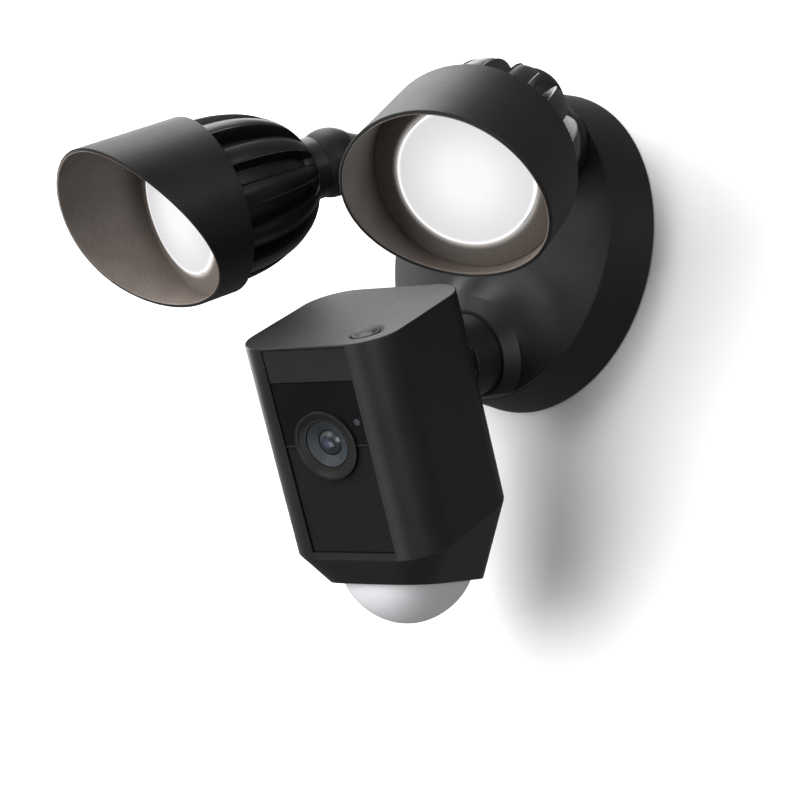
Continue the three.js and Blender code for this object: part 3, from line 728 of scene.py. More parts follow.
SHELL = moulding("shell_plastic", 0.013, 0.5)
BODY = moulding("body_plastic", 0.013, 0.43, pebble=1900, depth=0.018)
COLLAR = moulding("collar_plastic", 0.02, 0.45)
TRIM = moulding("trim_plastic", 0.011, 0.4, pebble=2200, depth=0.01)
CASTING = cast_metal()
LINING = shade_lining()
BEZEL = bezel_painted_glow()
DIFFUSER = lit_diffuser()
WINDOW = dark_window()
GLASS = lens_glass()
IRIS = iris_ring_finish()
CLOTH = speaker_cloth()
DOME = milky_dome()
STEEL = plated_steel()
RUBBER = rubber()
BOARD = circuit_board()
WHITE = white_moulding()
PHOSPHOR = phosphor()


# ---- wall base ----
def crown(radius):
    """How far forward the domed front of the cover is, at a radius."""
    return BASE_CROWN - (BASE_CROWN - BASE_EDGE_FORWARD) * (radius / BASE_EDGE_RADIUS) ** 2.2


def cover_skin():
    """The domed round cover without its holes, open to the wall."""
    steps = 24
    radii = [BASE_EDGE_RADIUS * i / steps for i in range(steps + 1)]
    outside = [(radius, crown(radius)) for radius in radii]
    inside = [(max(0.0, radius - COVER_WALL), forward - COVER_WALL) for radius, forward in outside]
    rim = [(BASE_RADIUS, 0), (BASE_RADIUS - COVER_WALL, 0)]
    profile = outside + rim + inside[:0:-1] + [(0, inside[0][1])]
    return turned("base_cover_shell", eased(profile, 0.7, 4))


def neck_boss():
    """The ring with a bevelled mouth in which the camera's neck turns."""
    mouth = [(0, 0), (NECK_RADIUS + 1.5, 0), (BOSS_RADIUS - 1, -4.4), (BOSS_RADIUS, BOSS_EDGE)]
    profile = mouth + [(BOSS_RADIUS, BOSS_SKIRT), (0, BOSS_SKIRT)]
    return placed(turned("boss", eased(profile, 0.4)), NECK)


def boss_swell():
    """The cover's face rising all round to meet the edge of the neck's boss."""
    place = NECK
    middle = place.translation / MM
    levels, around = 12, 96
    rings = []
    for level in range(levels + 1):
        share = level / levels
        ring = []
        for i in range(around):
            angle = math.tau * i / around
            local = Vector((BOSS_RADIUS * math.sin(angle), -BOSS_EDGE, BOSS_RADIUS * math.cos(angle)))
            edge = place @ (local * MM) / MM
            proud = -edge.y - crown(math.hypot(edge.x, edge.z))
            away = Vector((edge.x - middle.x, 0, edge.z - middle.z)).normalized()
            spot = edge + away * SWELL_WIDTH * share
            rise = proud * (1 - share) ** 2
            ring.append((spot.x, -crown(math.hypot(spot.x, spot.z)) - rise, spot.z))
        rings.append(ring)
    sunk = 2.5
    rings.append([(x, y + sunk, z) for x, y, z in rings[-1]])
    return stacked("swell", rings)


def arm_socket(side):
    """The solid boss that an arm's foot ball sits in, in the row frame."""
    mouth, floor = -ARM_LENGTH - 2, -ARM_LENGTH - ARM_BALL_RADIUS - 3
    profile = eased([
        (0, mouth), (SOCKET_RADIUS, mouth), (SOCKET_RADIUS + 0.7, mouth - 6),
        (SOCKET_RADIUS + 3, mouth - 12), (SOCKET_RADIUS + 3, floor), (0, floor),
    ], 1.0)
    return placed(turned(f"socket_{side}", profile), arm_frame(side))


def placed(made, matrix):
    """Puts a tool's points into the row frame."""
    made.data.transform(matrix)
    return made


def on_rim(made, angle):
    """Lays a shape drawn along the forward axis onto a radius of the base."""
    outward = Vector((math.cos(math.radians(angle)), 0, math.sin(math.radians(angle))))
    turn = Vector((0, -1, 0)).rotation_difference(outward).to_matrix().to_4x4()
    shift = Matrix.Translation((0, -SCREW_FORWARD * MM, 0))
    return placed(made, shift @ turn)


def within_cover(made):
    """Trims a boss to the round footprint of the cover."""
    return kept_in(made, rod("footprint", BASE_EDGE_RADIUS - 0.2, 3, 80, segments=ROUND))


def base_cover():
    cover = joined(cover_skin(), within_cover(joined(neck_boss(), boss_swell())))
    cut(
        cover,
        placed(rod("hollow", BOSS_RADIUS - 2.6, -45, BOSS_FLOOR), NECK),
        placed(rod("bore", NECK_RADIUS + GAP, -NECK_BORE_DEPTH, 20, segments=ROUND), NECK),
        placed(rod("spindle_hole", NECK_SPINDLE_RADIUS + GAP, -30, 0), NECK),
    )
    for side in SIDES:
        joined(cover, within_cover(arm_socket(side)))
        bowl = ball("bowl", ARM_BALL_RADIUS + GAP, (0, ARM_LENGTH, 0))
        hole = rod("hole", SPINDLE_RADIUS + GAP, -ARM_LENGTH - 45, -ARM_LENGTH)
        cut(cover, placed(bowl, arm_frame(side)), placed(hole, arm_frame(side)))
    for angle in SCREW_ANGLES.values():
        cut(
            cover,
            on_rim(rod("screw_hole", SCREW_RADIUS + GAP, 60, 80), angle),
            on_rim(rod("counterbore", SCREW_HEAD_RADIUS + GAP, SCREW_SEAT, 80), angle),
        )
    fitted(cover, BASE, "base_cover", SHELL)


def bracket_plate():
    """The steel plate on the wall, with two bent tabs for the cover's screws."""
    front, half, tab_outside = BRACKET_THICKNESS, TAB_WIDTH / 2, TAB_RADIUS + 2
    rim = eased([(0, 0), (BRACKET_RADIUS, 0), (BRACKET_RADIUS, front), (0, front)], 0.3)
    plate = turned("wall_bracket_plate", rim)
    for angle in SCREW_ANGLES.values():
        turn = spun(90 - angle, "Y")
        foot = block("foot", (-half, -front, 60), (half, 0, tab_outside))
        tab = block("tab", (-half, -TAB_REACH, TAB_RADIUS), (half, -1, tab_outside))
        joined(plate, moved(foot, turn), moved(tab, turn))
        cut(plate, on_rim(rod("tapped", SCREW_RADIUS + GAP, 60, 72), angle))
    cut(plate, shifted(rod("inlet", INLET_RADIUS, -1, 5), 0, 0, INLET_HEIGHT))
    upright = spun(90, "X")
    for x in (-FIXING_SPREAD / 2, FIXING_SPREAD / 2):
        slot = moved(prism("slot", FIXING_SLOT, 2.4, -1, 5, 0.05, (0, 0), 8), upright)
        cut(plate, shifted(slot, x, 0, 0))
    edged(plate, 0.15)
    fitted(plate, BASE, "wall_bracket", STEEL)


def wall_gasket():
    outer, inner = BASE_RADIUS - COVER_WALL - 2 * GAP, TAB_RADIUS + 3
    profile = eased([(inner, 0), (outer, 0), (outer, 3), (inner, 3), (inner, 0)], 0.5)
    fitted(turned("wall_gasket_ring", profile), BASE, "wall_gasket", RUBBER)


def cover_screw(which):
    """Pan-head screw with a six-sided key socket."""
    tip, seat = SCREW_SEAT - 10.6, SCREW_SEAT + GAP
    head = [
        (0, tip), (SCREW_RADIUS, tip), (SCREW_RADIUS, seat), (SCREW_HEAD_RADIUS, seat),
        (SCREW_HEAD_RADIUS, seat + 1.2), (2.2, seat + 1.8), (0, seat + 1.9),
    ]
    screw = turned(f"cover_screw_{which}_head", eased(head, 0.25), SMALL_ROUND)
    cut(screw, rod("key_socket", 1.4, 73.4, 76, segments=6))
    fitted(on_rim(screw, SCREW_ANGLES[which]), BASE, f"cover_screw_{which}", STEEL)


def inlet_grommet():
    outer, flange, hole = INLET_RADIUS - GAP, INLET_RADIUS + 2.5, INLET_RADIUS - 4
    behind, front = BRACKET_THICKNESS + GAP, 5
    lip = [(outer, behind), (flange, behind), (flange, front)]
    profile = eased([(hole, 0), (outer, 0), *lip, (hole, front), (hole, 0)], 0.5)
    grommet = shifted(turned("inlet_grommet_ring", profile, 96), 0, 0, INLET_HEIGHT)
    fitted(grommet, BASE, "inlet_grommet", RUBBER)


# ---- lamp arms ----
ACROSS = spun(90, "Z")  # turns the forward axis to run along the cross pin


def tongue_slot():
    """The space that the lamp's tongue swings through, in the arm's frame."""
    width = TONGUE_THICKNESS + 4 * GAP
    reach = KNUCKLE_RADIUS + 4
    first, last = TONGUE_SWING
    steps = 40
    fan = [(0, 0)]
    for i in range(steps + 1):
        angle = math.radians(first + (last - first) * i / steps)
        fan.append((-reach * math.cos(angle), -reach * math.sin(angle)))
    rings = [[(x, y, z) for y, z in fan] for x in (-width / 2, width / 2)]
    slot = stacked("slot", rings)
    hub = moved(rod("hub", 8, -width / 2, width / 2), ACROSS)
    joined(slot, hub)
    for angle in TONGUE_SWING:
        side = block("side", (-width / 2, -reach, -5.6), (width / 2, 0, 5.6), 0.05)
        joined(slot, moved(side, spun(angle, "X")))
    return slot


def lamp_arm(side):
    """A foot ball and a knuckle ball on a straight shank, with a spindle behind the foot."""
    profile = [(0, SPINDLE_END), (SPINDLE_RADIUS, SPINDLE_END), (SPINDLE_RADIUS, -ARM_LENGTH)]
    spindle = turned(f"arm_{side}_casting", eased(profile + [(0, -ARM_LENGTH)], 0.4), SMALL_ROUND)
    foot = ball("foot", ARM_BALL_RADIUS, (0, ARM_LENGTH, 0))
    shank = shifted(rod("shank", ARM_RADIUS, -ARM_LENGTH, 0, segments=96), 0, 0, ARM_RAISE)
    arm = joined(spindle, foot, shank, ball("knuckle", KNUCKLE_RADIUS))
    pin_hole = moved(rod("pin_hole", PIN_RADIUS + GAP, -PIN_REACH, PIN_REACH), ACROSS)
    cut(arm, tongue_slot(), pin_hole, rod("wire_way", 4, -80, -2))
    fitted(arm, arm_frame(side), f"arm_{side}", SHELL)


# ---- lamp heads ----
def lamp_neck(side):
    """The collar behind the heat sink, with the tongue that the cross pin holds."""
    end, tip = COLLAR_END, COLLAR_END + SPIGOT_LENGTH
    profile = eased([
        (0, 4), (COLLAR_RADIUS, 4), (COLLAR_RADIUS, end),
        (SPIGOT_RADIUS, end), (SPIGOT_RADIUS, tip), (0, tip),
    ], 0.5)
    collar = turned(f"lamp_neck_{side}_collar", profile, 96)
    cut(collar, ball("seat", KNUCKLE_RADIUS + 2 * GAP))
    half = TONGUE_THICKNESS / 2
    stem = block("stem", (-half, -KNUCKLE_RADIUS - 3, -5), (half, 0, 5))
    eye = moved(rod("eye", 7.4, -half, half, 0.4), ACROSS)
    joined(stem, eye)
    joined(collar, stem)
    cut(collar, moved(rod("pin_hole", PIN_RADIUS + GAP, -10, 10), ACROSS))
    fitted(collar, neck_of_lamp_frame(side), f"lamp_neck_{side}", COLLAR)


def sink_radius(forward):
    """The heat sink's outer radius: a dome a little fuller than a quarter ellipse."""
    reach = (SINK_FRONT - forward) / SINK_LENGTH
    return SINK_RADIUS * max(0.0, 1 - reach ** SINK_FULLNESS) ** (1 / SINK_FULLNESS)


def petal_groove(point):
    """Presses flat grooves into the heat sink's dome, between crowned petals with a fine lip."""
    radius, forward = math.hypot(point.x, point.z), -point.y
    if radius < SPIGOT_RADIUS + 1 or forward < COLLAR_END + 0.8:
        return point
    across = math.atan2(point.x, point.z) * PETALS / math.tau + 0.5
    from_groove = abs(across - round(across)) * 2
    wall = 1 - min(1.0, max(0.0, (from_groove - GROOVE_SHARE) / GROOVE_WALL))
    wall = wall * wall * (3 - 2 * wall)
    crowned = PETAL_CROWN * min(1.0, (1 - from_groove) / (1 - GROOVE_SHARE)) ** 2
    lip = LIP_HEIGHT * math.exp(-((from_groove - GROOVE_SHARE - LIP_PLACE) / LIP_WIDTH) ** 2)
    fade = min(1.0, (forward - COLLAR_END) / GROOVE_FADE)
    depth = fade * (GROOVE_DEPTH * wall + crowned - lip * (1 - wall))
    shrink = 1 - depth / max(radius, GROOVE_CORE)
    return Vector((point.x * shrink, point.y, point.z * shrink))


def heat_sink(side):
    rear, hole = COLLAR_END + GAP, SPIGOT_RADIUS + GAP
    profile = [(0, rear + SPIGOT_LENGTH), (hole, rear + SPIGOT_LENGTH), (hole, rear)]
    steps = 40
    for i in range(steps + 1):
        forward = rear + (SINK_FRONT - rear) * (i / steps) ** 1.5
        profile.append((sink_radius(forward), forward))
    profile.append((0, SINK_FRONT))
    sink = turned(f"heat_sink_{side}_petals", profile, PETALS * 48, petal_groove)
    fitted(sink, head_frame(side), f"heat_sink_{side}", CASTING)


def shade_reach(angle):
    """How far the shade's lip reaches at an angle from its top."""
    return SHADE_LENGTH + SHADE_PEAK * math.cos(angle) - SHADE_CURL * math.cos(2 * angle)


def slanted(point):
    """Draws the front of the shade out to its slanted lip."""
    forward = -point.y - SHADE_REAR
    start = SHADE_LENGTH - 3
    share = min(1.0, max(0.0, (forward - SHADE_STRAIGHT) / (start - SHADE_STRAIGHT)))
    angle = math.atan2(point.x, point.z)
    extra = (shade_reach(angle) - SHADE_LENGTH) * share
    return Vector((point.x, point.y - extra, point.z))


def lamp_shade(side):
    """The slanted tube round the lens, black outside and warm grey inside."""
    rear, lip = SHADE_REAR, SHADE_REAR + SHADE_LENGTH
    inner, hole, floor = SHADE_RADIUS - SHADE_WALL, LENS_RADIUS + 1.3, rear + SHADE_FLOOR
    along = [rear + SHADE_STRAIGHT + SHADE_RING_STEP * i for i in range(10)]
    outside = [(hole, rear), (SHADE_RADIUS, rear)] + [(SHADE_RADIUS, forward) for forward in along]
    inside = [(inner, forward) for forward in reversed(along)]
    profile = outside + [(SHADE_RADIUS, lip), (inner, lip)] + inside
    profile += [(inner, floor), (hole, floor), (hole, rear)]
    made = turned(f"shade_{side}_skin", eased(profile, 0.55), ROUND, slanted)
    fitted(made, head_frame(side), f"shade_{side}", SHELL)
    made.data.materials.append(LINING)
    boundary = (SHADE_RADIUS - SHADE_WALL * 0.72) * MM
    for face in made.data.polygons:
        if math.hypot(face.center.x, face.center.z) < boundary and -face.center.y > (rear + 1) * MM:
            face.material_index = 1


def lamp_front(side):
    """The bezel and the milky lens that close the lamp."""
    inner = SHADE_RADIUS - SHADE_WALL - GAP
    hole, front = LENS_RADIUS + GAP, LENS_FORWARD
    ring = [(hole, front - 2.6), (hole, front - 0.8)]
    for i in range(1, 8):
        share = i / 8
        ring.append((hole + (inner - hole) * share, front - 0.8 - 2.8 * share ** 1.4))
    ring += [(inner, front - 3.6), (inner, front - 5.4), (hole, front - 2.6)]
    fitted(turned(f"bezel_{side}_ring", ring), head_frame(side), f"bezel_{side}", BEZEL)
    lens = [(0, front - 2), (LENS_RADIUS, front - 2), (LENS_RADIUS, front - 0.4)]
    for i in range(1, 13):
        share = i / 12
        lens.append((LENS_RADIUS * (1 - share), front - 0.3 + math.sin(share * math.pi / 2)))
    cover = turned(f"lamp_lens_{side}_cover", lens)
    fitted(cover, head_frame(side), f"lamp_lens_{side}", DIFFUSER)


# ---- camera neck ----
def camera_neck():
    """The short turning neck, and the steel ball on its stem that carries the camera."""
    front, radius, foot, spindle = NECK_FRONT, NECK_RADIUS, NECK_FOOT, NECK_SPINDLE_RADIUS
    behind, ahead = NECK_GROOVE
    seat = radius - NECK_GROOVE_DEPTH
    profile = eased([
        (0, -24), (spindle, -24), (spindle, foot), (radius, foot), (radius, behind), (seat, behind),
        (seat, ahead), (radius, ahead), (radius, front), (radius - 2.2, front),
        (radius - 2.8, front - 1.4), (0, front - 1.4),
    ], 0.6)
    neck = turned("camera_neck_stub", profile)
    cut(neck, rod("stem_way", STEM_RADIUS + GAP, 4, 20), rod("lead_way", 3.2, -30, 5))
    fitted(neck, NECK, "camera_neck", SHELL)
    stem = rod("neck_ball_stem", STEM_RADIUS, 4 + GAP, BALL_FORWARD, 0.3)
    joined(stem, ball("knob", BALL_RADIUS, (0, -BALL_FORWARD, 0)))
    cut(stem, rod("lead_bore", 2.2, 0, 40))
    fitted(stem, NECK, "neck_ball", STEEL)


# ---- camera ----
def camera_shell():
    size = (BODY_WIDTH, BODY_DEPTH)
    room = (BODY_WIDTH - 2 * BODY_WALL, BODY_DEPTH - 2 * BODY_WALL)
    middle = (0, BODY_MIDDLE)
    body = prism("camera_shell_body", size, BODY_CORNER, BODY_SEAM, BODY_TOP, 0.8, middle, 20, 0.2)
    half = PANEL_WIDTH / 2
    dish = [(0, BODY_TOP - 1.2), (4, BODY_TOP - 1.15), (7, BODY_TOP - 0.9), (DISH_RADIUS, BODY_TOP)]
    dish += [(DISH_RADIUS + 0.4, BODY_TOP + 2), (0, BODY_TOP + 2)]
    cut(
        body,
        prism("room", room, BODY_CORNER - BODY_WALL, BODY_SEAM - 5, BODY_TOP - 3, 0.4, middle, 20),
        block("panel", (-half, BODY_FRONT - 1, PANEL_BOTTOM), (half, BODY_FRONT + 6, PANEL_TOP), 0.3),
        rod("stem_way", STEM_RADIUS + 0.8, 0, 20),
        on_top(turned("dish", dish, 96)),
        on_top(rod("button_hole", BUTTON_RADIUS + GAP, BODY_TOP - 6, BODY_TOP + 4, segments=96)),
    )
    edged(body, 0.22, 40)
    fitted(body, CAMERA, "camera_shell", BODY)


def on_top(made):
    """Turns a shape drawn along the forward axis to point up, over the setup button's place."""
    moved(made, spun(-90, "X"))
    return shifted(made, BUTTON_X, BUTTON_Y, 0)


def setup_button():
    """A slightly hollowed round cap."""
    top = BODY_TOP - 0.3
    foot, flange = BODY_TOP - 5.5, BUTTON_RADIUS + 1.2
    cap = [(0, foot), (flange, foot), (flange, foot + 1.4), (BUTTON_RADIUS, foot + 1.4)]
    cap += [(BUTTON_RADIUS, top - 0.5), (BUTTON_RADIUS - 0.6, top - 0.1)]
    cap += [(BUTTON_RADIUS - 1.4, top - 0.4), (3, top - 1.2), (0, top - 1.4)]
    made = on_top(turned("setup_button_cap", eased(cap, 0.3), 96))
    fitted(made, CAMERA, "setup_button", TRIM)


def chin_ring(share, inset):
    """One level of the chin, from the seam at share 0 to the underside at share 1."""
    grow = 1 - 2 * inset / BODY_WIDTH
    ring = []
    for x, y in rounded_outline(BODY_WIDTH * grow, BODY_DEPTH * grow, BODY_CORNER - inset, 20):
        low_x, low_y = x * CHIN_SCALE, y * CHIN_SCALE + CHIN_SHIFT
        fall = CHIN_DROP + math.tan(math.radians(CHIN_SLOPE)) * (low_y + BODY_DEPTH / 2)
        ring.append(Vector((x + (low_x - x) * share, y + (low_y - y) * share, -fall * share)))
    return ring


def underside_frame():
    """The middle of the sloping underside, with forward pointing down out of it."""
    drop = CHIN_DROP + math.tan(math.radians(CHIN_SLOPE)) * (CHIN_SHIFT + BODY_DEPTH / 2)
    shift = Matrix.Translation(Vector((0, BODY_MIDDLE + CHIN_SHIFT, CHIN_TOP - drop)))
    return shift @ spun(90 - CHIN_SLOPE, "X")


def chin():
    ease = 0.02
    shift = Matrix.Translation((0, BODY_MIDDLE, CHIN_TOP))
    outer = [chin_ring(0, 0.15), chin_ring(0.3 * ease, 0.04), chin_ring(ease, 0)]
    outer += [chin_ring(1 - ease, 0), chin_ring(1 - 0.4 * ease, 0.12), chin_ring(1, 0.5)]
    wedge = moved(stacked("chin_wedge", outer), shift)
    lift = Matrix.Translation((0, BODY_MIDDLE, CHIN_TOP + BODY_WALL))
    room = moved(stacked("room", [chin_ring(0, BODY_WALL), chin_ring(1, BODY_WALL)]), lift)
    eye = moved(rod("eye", DOME_RADIUS - 1.6, -8, 8, segments=ROUND), underside_frame())
    cut(wedge, room, eye)
    fitted(wedge, CAMERA, "chin", BODY)


def squared(point):
    """Fills out a round shape a little towards the corners of the chin's underside."""
    radius = math.hypot(point.x, point.z)
    if radius < 1e-6:
        return point
    across, along = abs(point.x / radius), abs(point.z / radius)
    corner = (across ** DOME_SQUARE + along ** DOME_SQUARE) ** (-1 / DOME_SQUARE)
    grow = 1 + (corner - 1) * min(1.0, radius / DOME_RADIUS) ** 2
    return Vector((point.x * grow, point.y, point.z * grow))


def motion_dome():
    """A shallow milky cap with a short neck that plugs into the chin."""
    curve = (DOME_RADIUS ** 2 + DOME_HEIGHT ** 2) / (2 * DOME_HEIGHT)
    centre = DOME_HEIGHT + GAP - curve
    edge = math.degrees(math.asin(DOME_RADIUS / curve))
    neck, liner = DOME_RADIUS - 2 - GAP, curve - 1.6
    liner_edge = math.degrees(math.asin((neck - 1.5) / liner))
    profile = arc(curve, centre, 0, edge, 40) + [(neck, GAP), (neck, -3.5), (neck - 1.5, -3.5)]
    profile += arc(liner, centre, liner_edge, 0, 30)
    dome = moved(turned("motion_dome_lens", profile, ROUND, squared), underside_frame())
    fitted(dome, CAMERA, "motion_dome", DOME)


def in_front(made):
    """Moves a shape drawn about the forward axis to the height of the camera lens."""
    return shifted(made, 0, 0, LEDGE_LINE)


def front_panel():
    """The band, the smoked window and the cloth that fill the front opening."""
    half, face = PANEL_WIDTH / 2 - GAP, BODY_FRONT
    low, hole = PANEL_BOTTOM, LENS_RING_RADIUS + GAP

    def lens_hole():
        return in_front(rod("lens_hole", hole, 60, 100, segments=96))

    def eye_hole():
        return shifted(rod("eye_hole", 1.7, 60, 100), SENSOR_X, 0, SENSOR_Z)

    wide, high = half + 3.5, BODY_TOP - 3.4
    flange = block("front_frame_band", (-wide, face + 3.5, low - 2.4), (wide, face + 5.2, high), 0.2)
    band = block("band", (-half, face + 0.35, BAND_LINE), (half, face + 4, PANEL_TOP - GAP), 0.3)
    sound = block("sound", (-14, face, low + 8), (14, face + 8, LEDGE_LINE - LENS_RING_RADIUS - 2))
    ledge = block("ledge", (-half, face + 0.1, LEDGE_LINE - LEDGE_HEIGHT), (half, face + 4, LEDGE_LINE), 0.2)
    joined(flange, band, ledge)
    cut(flange, lens_hole(), eye_hole(), sound)
    fitted(flange, CAMERA, "front_frame", TRIM)
    pane_low, pane_high = LEDGE_LINE + GAP / 2, BAND_LINE - GAP
    pane = block("front_window_pane", (-half, face + 0.55, pane_low), (half, face + 2.6, pane_high), 0.2)
    cut(pane, lens_hole(), eye_hole())
    fitted(pane, CAMERA, "front_window", WINDOW)
    cloth_high = LEDGE_LINE - LEDGE_HEIGHT - GAP / 2
    cloth = block("speaker_mesh_cloth", (-half, face + 0.9, low + GAP), (half, face + 2.6, cloth_high), 0.3)
    cut(cloth, lens_hole())
    fitted(cloth, CAMERA, "speaker_mesh", CLOTH)
    dot = rod("light_sensor_dot", 1.6, -face - 3.8, -face - 0.6, 0.3)
    shifted(dot, SENSOR_X, 0, SENSOR_Z)
    fitted(dot, CAMERA, "light_sensor", IRIS)


def camera_lens():
    front, outer, iris = -BODY_FRONT, LENS_RING_RADIUS, IRIS_RADIUS
    ring = [(iris + GAP, front - 7), (outer, front - 7), (outer, front + 0.8), (outer - 1, front + 0.8)]
    for i in range(9):
        share = i / 8
        ring.append((outer - 1.2 - (outer - iris - 2.6) * share, front + 0.75 - 1.35 * share ** 0.8))
    ring += [(iris + GAP, front - 0.6), (iris + GAP, front - 7)]
    lens_place = CAMERA @ Matrix.Translation((0, 0, LEDGE_LINE * MM))
    fitted(turned("lens_ring_bezel", eased(ring, 0.25)), lens_place, "lens_ring", TRIM)
    hole, rear = 5.6, front - 8
    cone = [(hole, rear), (iris, rear), (iris, front - 0.8), (hole, front - 3), (hole, rear)]
    fitted(turned("iris_ring_cone", eased(cone, 0.2)), lens_place, "iris_ring", IRIS)
    barrel = rod("lens_barrel_tube", 5.3, front - 19, front - 3.6, 0.2, 96)
    cut(barrel, rod("light_way", 3.8, front - 12, front))
    fitted(barrel, lens_place, "lens_barrel", CASTING)
    glass = [(0, front - 3.3), (5.2, front - 3.3)] + arc(7.1, front - 8.1, 47, 0, 16)
    fitted(turned("lens_glass_front", glass, 96), lens_place, "lens_glass", GLASS)


def ball_socket():
    """The round housing on the camera's back that grips the neck's ball."""
    back = -BODY_BACK - GAP
    profile = eased([(0, back), (17, back), (17, back - 2), (13.4, back - 3), (13.4, -3), (0, -3)], 0.5)
    housing = turned("ball_socket_housing", profile, 96)
    cut(housing, ball("seat", BALL_RADIUS + 7 * GAP), rod("lead_way", STEM_RADIUS, 5, 12))
    fitted(housing, CAMERA, "ball_socket", SHELL)


# ---- pieces that keep the shape they have ----
# a name stands for one node, or for a left and right pair of them
KEPT = [
    (BOARD, ["driver_board", "main_board", "switch_board", "sensor_board", "led_board"]),
    (WHITE, ["power_module", "terminal_block", "reflector", "friction_cup"]),
    (STEEL, ["knuckle_pin", "arm_washer", "arm_nut", "neck_nut", "motion_sensor"]),
    (RUBBER, ["siren", "lens_seal", "neck_seal", "speaker"]),
    (PHOSPHOR, ["led_emitter"]),
]


def finish_kept_pieces():
    for finish, names in KEPT:
        for name in names:
            pair = [f"{name}_{side}" for side in SIDES]
            for node in [name] if name in NODES else pair:
                for slot in NODES[node].material_slots:
                    slot.material = finish


# ---- room ----
def plain_sheet(name, corners, finish, facing):
    """A flat sheet that faces one way and neither lights the object nor shows in it."""
    sheet = from_points(name, [Vector(corner) / MM for corner in corners], [(0, 1, 2, 3)])
    if sheet.data.polygons[0].normal.dot(Vector(facing)) < 0:
        sheet.data.flip_normals()
    sheet.data.materials.append(finish)
    sheet.visible_glossy = sheet.visible_diffuse = False
    return sheet


def painted_wall():
    """White wall that can be seen only from the front, so that views from behind show the back."""
    finish = Finish("wall_paint", roughness=0.9)
    finish.set(base_color=finish.mixed(finish.speckle(3), grey(0.93), grey(0.95)))
    finish.set(emission_color=(1, 1, 1, 1), emission_strength=0.06)
    tree = finish.tree
    output = next(node for node in tree.nodes if node.type == "OUTPUT_MATERIAL")
    clear = finish.node("BsdfTransparent", {}, {})
    behind = finish.node("NewGeometry", {}, {}, "Backfacing")
    shown = Value(finish, finish.shader.outputs[0])
    one_way = finish.node("MixShader", {}, {0: behind, 1: shown, 2: clear})
    tree.links.new(one_way.socket, output.inputs["Surface"])
    return finish.material


def pale_floor():
    finish = Finish("floor_paint", roughness=0.8)
    finish.set(base_color=finish.mixed(finish.speckle(4), grey(0.86), grey(0.9)))
    return finish.material


def soft_light(name, position, target, size, power):
    lamp = bpy.data.lights.new(name, "AREA")
    lamp.shape = "RECTANGLE"
    lamp.size, lamp.size_y = size
    lamp.energy = power
    made = bpy.data.objects.new(name, lamp)
    made.location = position
    made.rotation_mode = "QUATERNION"
    made.rotation_quaternion = (Vector(target) - Vector(position)).to_track_quat("-Z", "Y")
    bpy.context.scene.collection.objects.link(made)
    return made


# soft boxes that show only as sheen: degrees round from straight ahead, degrees up, watts
SHEEN_LIGHTS = {
    "low_front": (0, -50, 4.7),
    "front": (0, 10, 2.6),
    "upper_front": (330, 40, 4.6),
    "left": (270, 10, 14.9),
    "upper_left": (270, 70, 10),
    "right": (90, 10, 5.8),
    "low_right": (60, -20, 6.8),
    "back_left": (240, 40, 6),
}


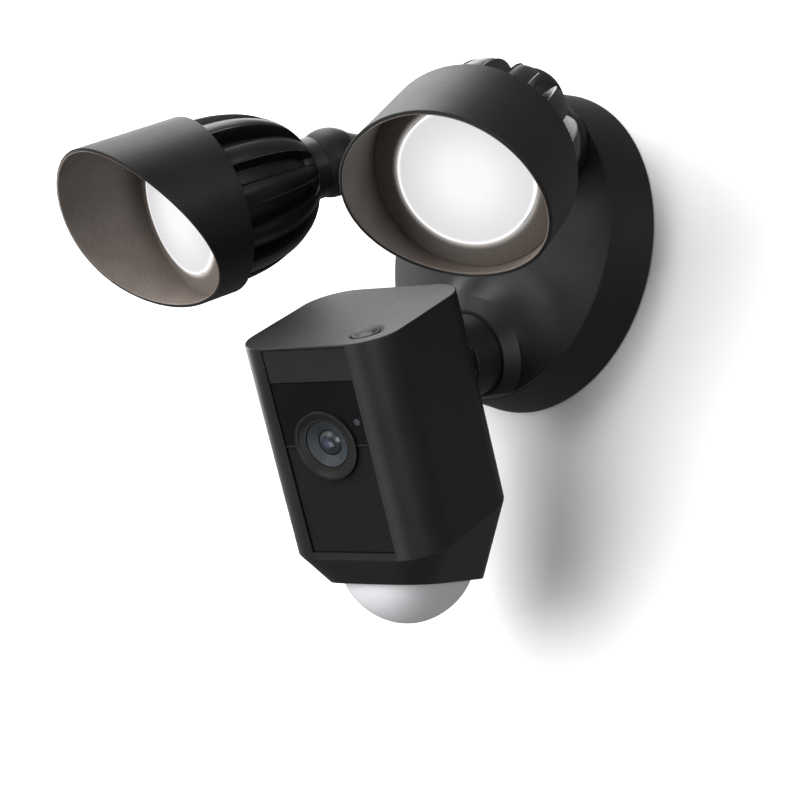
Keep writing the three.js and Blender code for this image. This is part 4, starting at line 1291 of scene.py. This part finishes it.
def studio():
    """A wall behind the object, a floor well below it, and the lights."""
    far, behind, low, high = 2.5, 0.0005, -1.2, 2
    wall = [(-far, behind, low), (far, behind, low), (far, behind, high), (-far, behind, high)]
    sheet = plain_sheet("wall_sheet", wall, painted_wall(), (0, -1, 0))
    sheet.visible_shadow = False
    reach = 4
    ground = [(-reach, -reach, low), (reach, -reach, low), (reach, reach, low), (-reach, reach, low)]
    plain_sheet("floor_sheet", ground, pale_floor(), (0, 0, 1))
    studio_air()
    wall_light = soft_light("wall_light", (-0.45, -1.7, 0.6), (0, 0, 0), (2.4, 2.4), 95)
    wall_light.visible_glossy = False
    middle, distance, size = Vector((0, -0.1, 0)), 1.6, (0.8, 0.8)
    for name, (round_to, up, power) in SHEEN_LIGHTS.items():
        turn, lift = math.radians(round_to), math.radians(up)
        way = Vector((math.cos(lift) * math.sin(turn), -math.cos(lift) * math.cos(turn), math.sin(lift)))
        sheen = soft_light(f"{name}_light", middle + way * distance, middle, size, power)
        sheen.visible_diffuse = False
    bpy.context.scene.view_settings.view_transform = "Standard"


def studio_air():
    """A pale room to look at, which lights the object only dimly."""
    world = bpy.data.worlds.new("studio_air")
    world.use_nodes = True
    nodes, links = world.node_tree.nodes, world.node_tree.links
    seen, dim = nodes["Background"], nodes.new("ShaderNodeBackground")
    seen.inputs["Color"].default_value = (0.92, 0.93, 0.94, 1)
    dim.inputs["Color"].default_value = (0.96, 0.96, 0.97, 1)
    dim.inputs["Strength"].default_value = 0.19
    path, either = nodes.new("ShaderNodeLightPath"), nodes.new("ShaderNodeMixShader")
    links.new(path.outputs["Is Camera Ray"], either.inputs[0])
    links.new(dim.outputs[0], either.inputs[1])
    links.new(seen.outputs[0], either.inputs[2])
    links.new(either.outputs[0], nodes["World Output"].inputs[0])
    bpy.context.scene.world = world


# where the viewer stands, in metres, and the directions to its right and behind it
EYE = (0.7224, -0.6924, -0.2286)
EYE_RIGHT = (0.6499, 0.7594, 0.0325)
EYE_BACK = (0.7538, -0.6384, -0.1561)
LENS = 98.9


def viewer():
    camera = bpy.data.objects.new("viewer", bpy.data.cameras.new("viewer"))
    bpy.context.scene.collection.objects.link(camera)
    right, back = Vector(EYE_RIGHT).normalized(), Vector(EYE_BACK).normalized()
    up = back.cross(right).normalized()
    turn = Matrix((right, up, right.cross(up))).transposed()
    camera.matrix_world = Matrix.Translation(Vector(EYE)) @ turn.to_4x4()
    camera.data.lens = LENS
    camera.data.sensor_width = 36
    camera.data.clip_start, camera.data.clip_end = 0.01, 30
    bpy.context.scene.camera = camera


base_cover()
bracket_plate()
wall_gasket()
inlet_grommet()
for which in SCREW_ANGLES:
    cover_screw(which)
for side in SIDES:
    lamp_arm(side)
    lamp_neck(side)
    heat_sink(side)
    lamp_shade(side)
    lamp_front(side)
camera_neck()
camera_shell()
setup_button()
chin()
motion_dome()
front_panel()
camera_lens()
ball_socket()
finish_kept_pieces()
studio()
viewer()
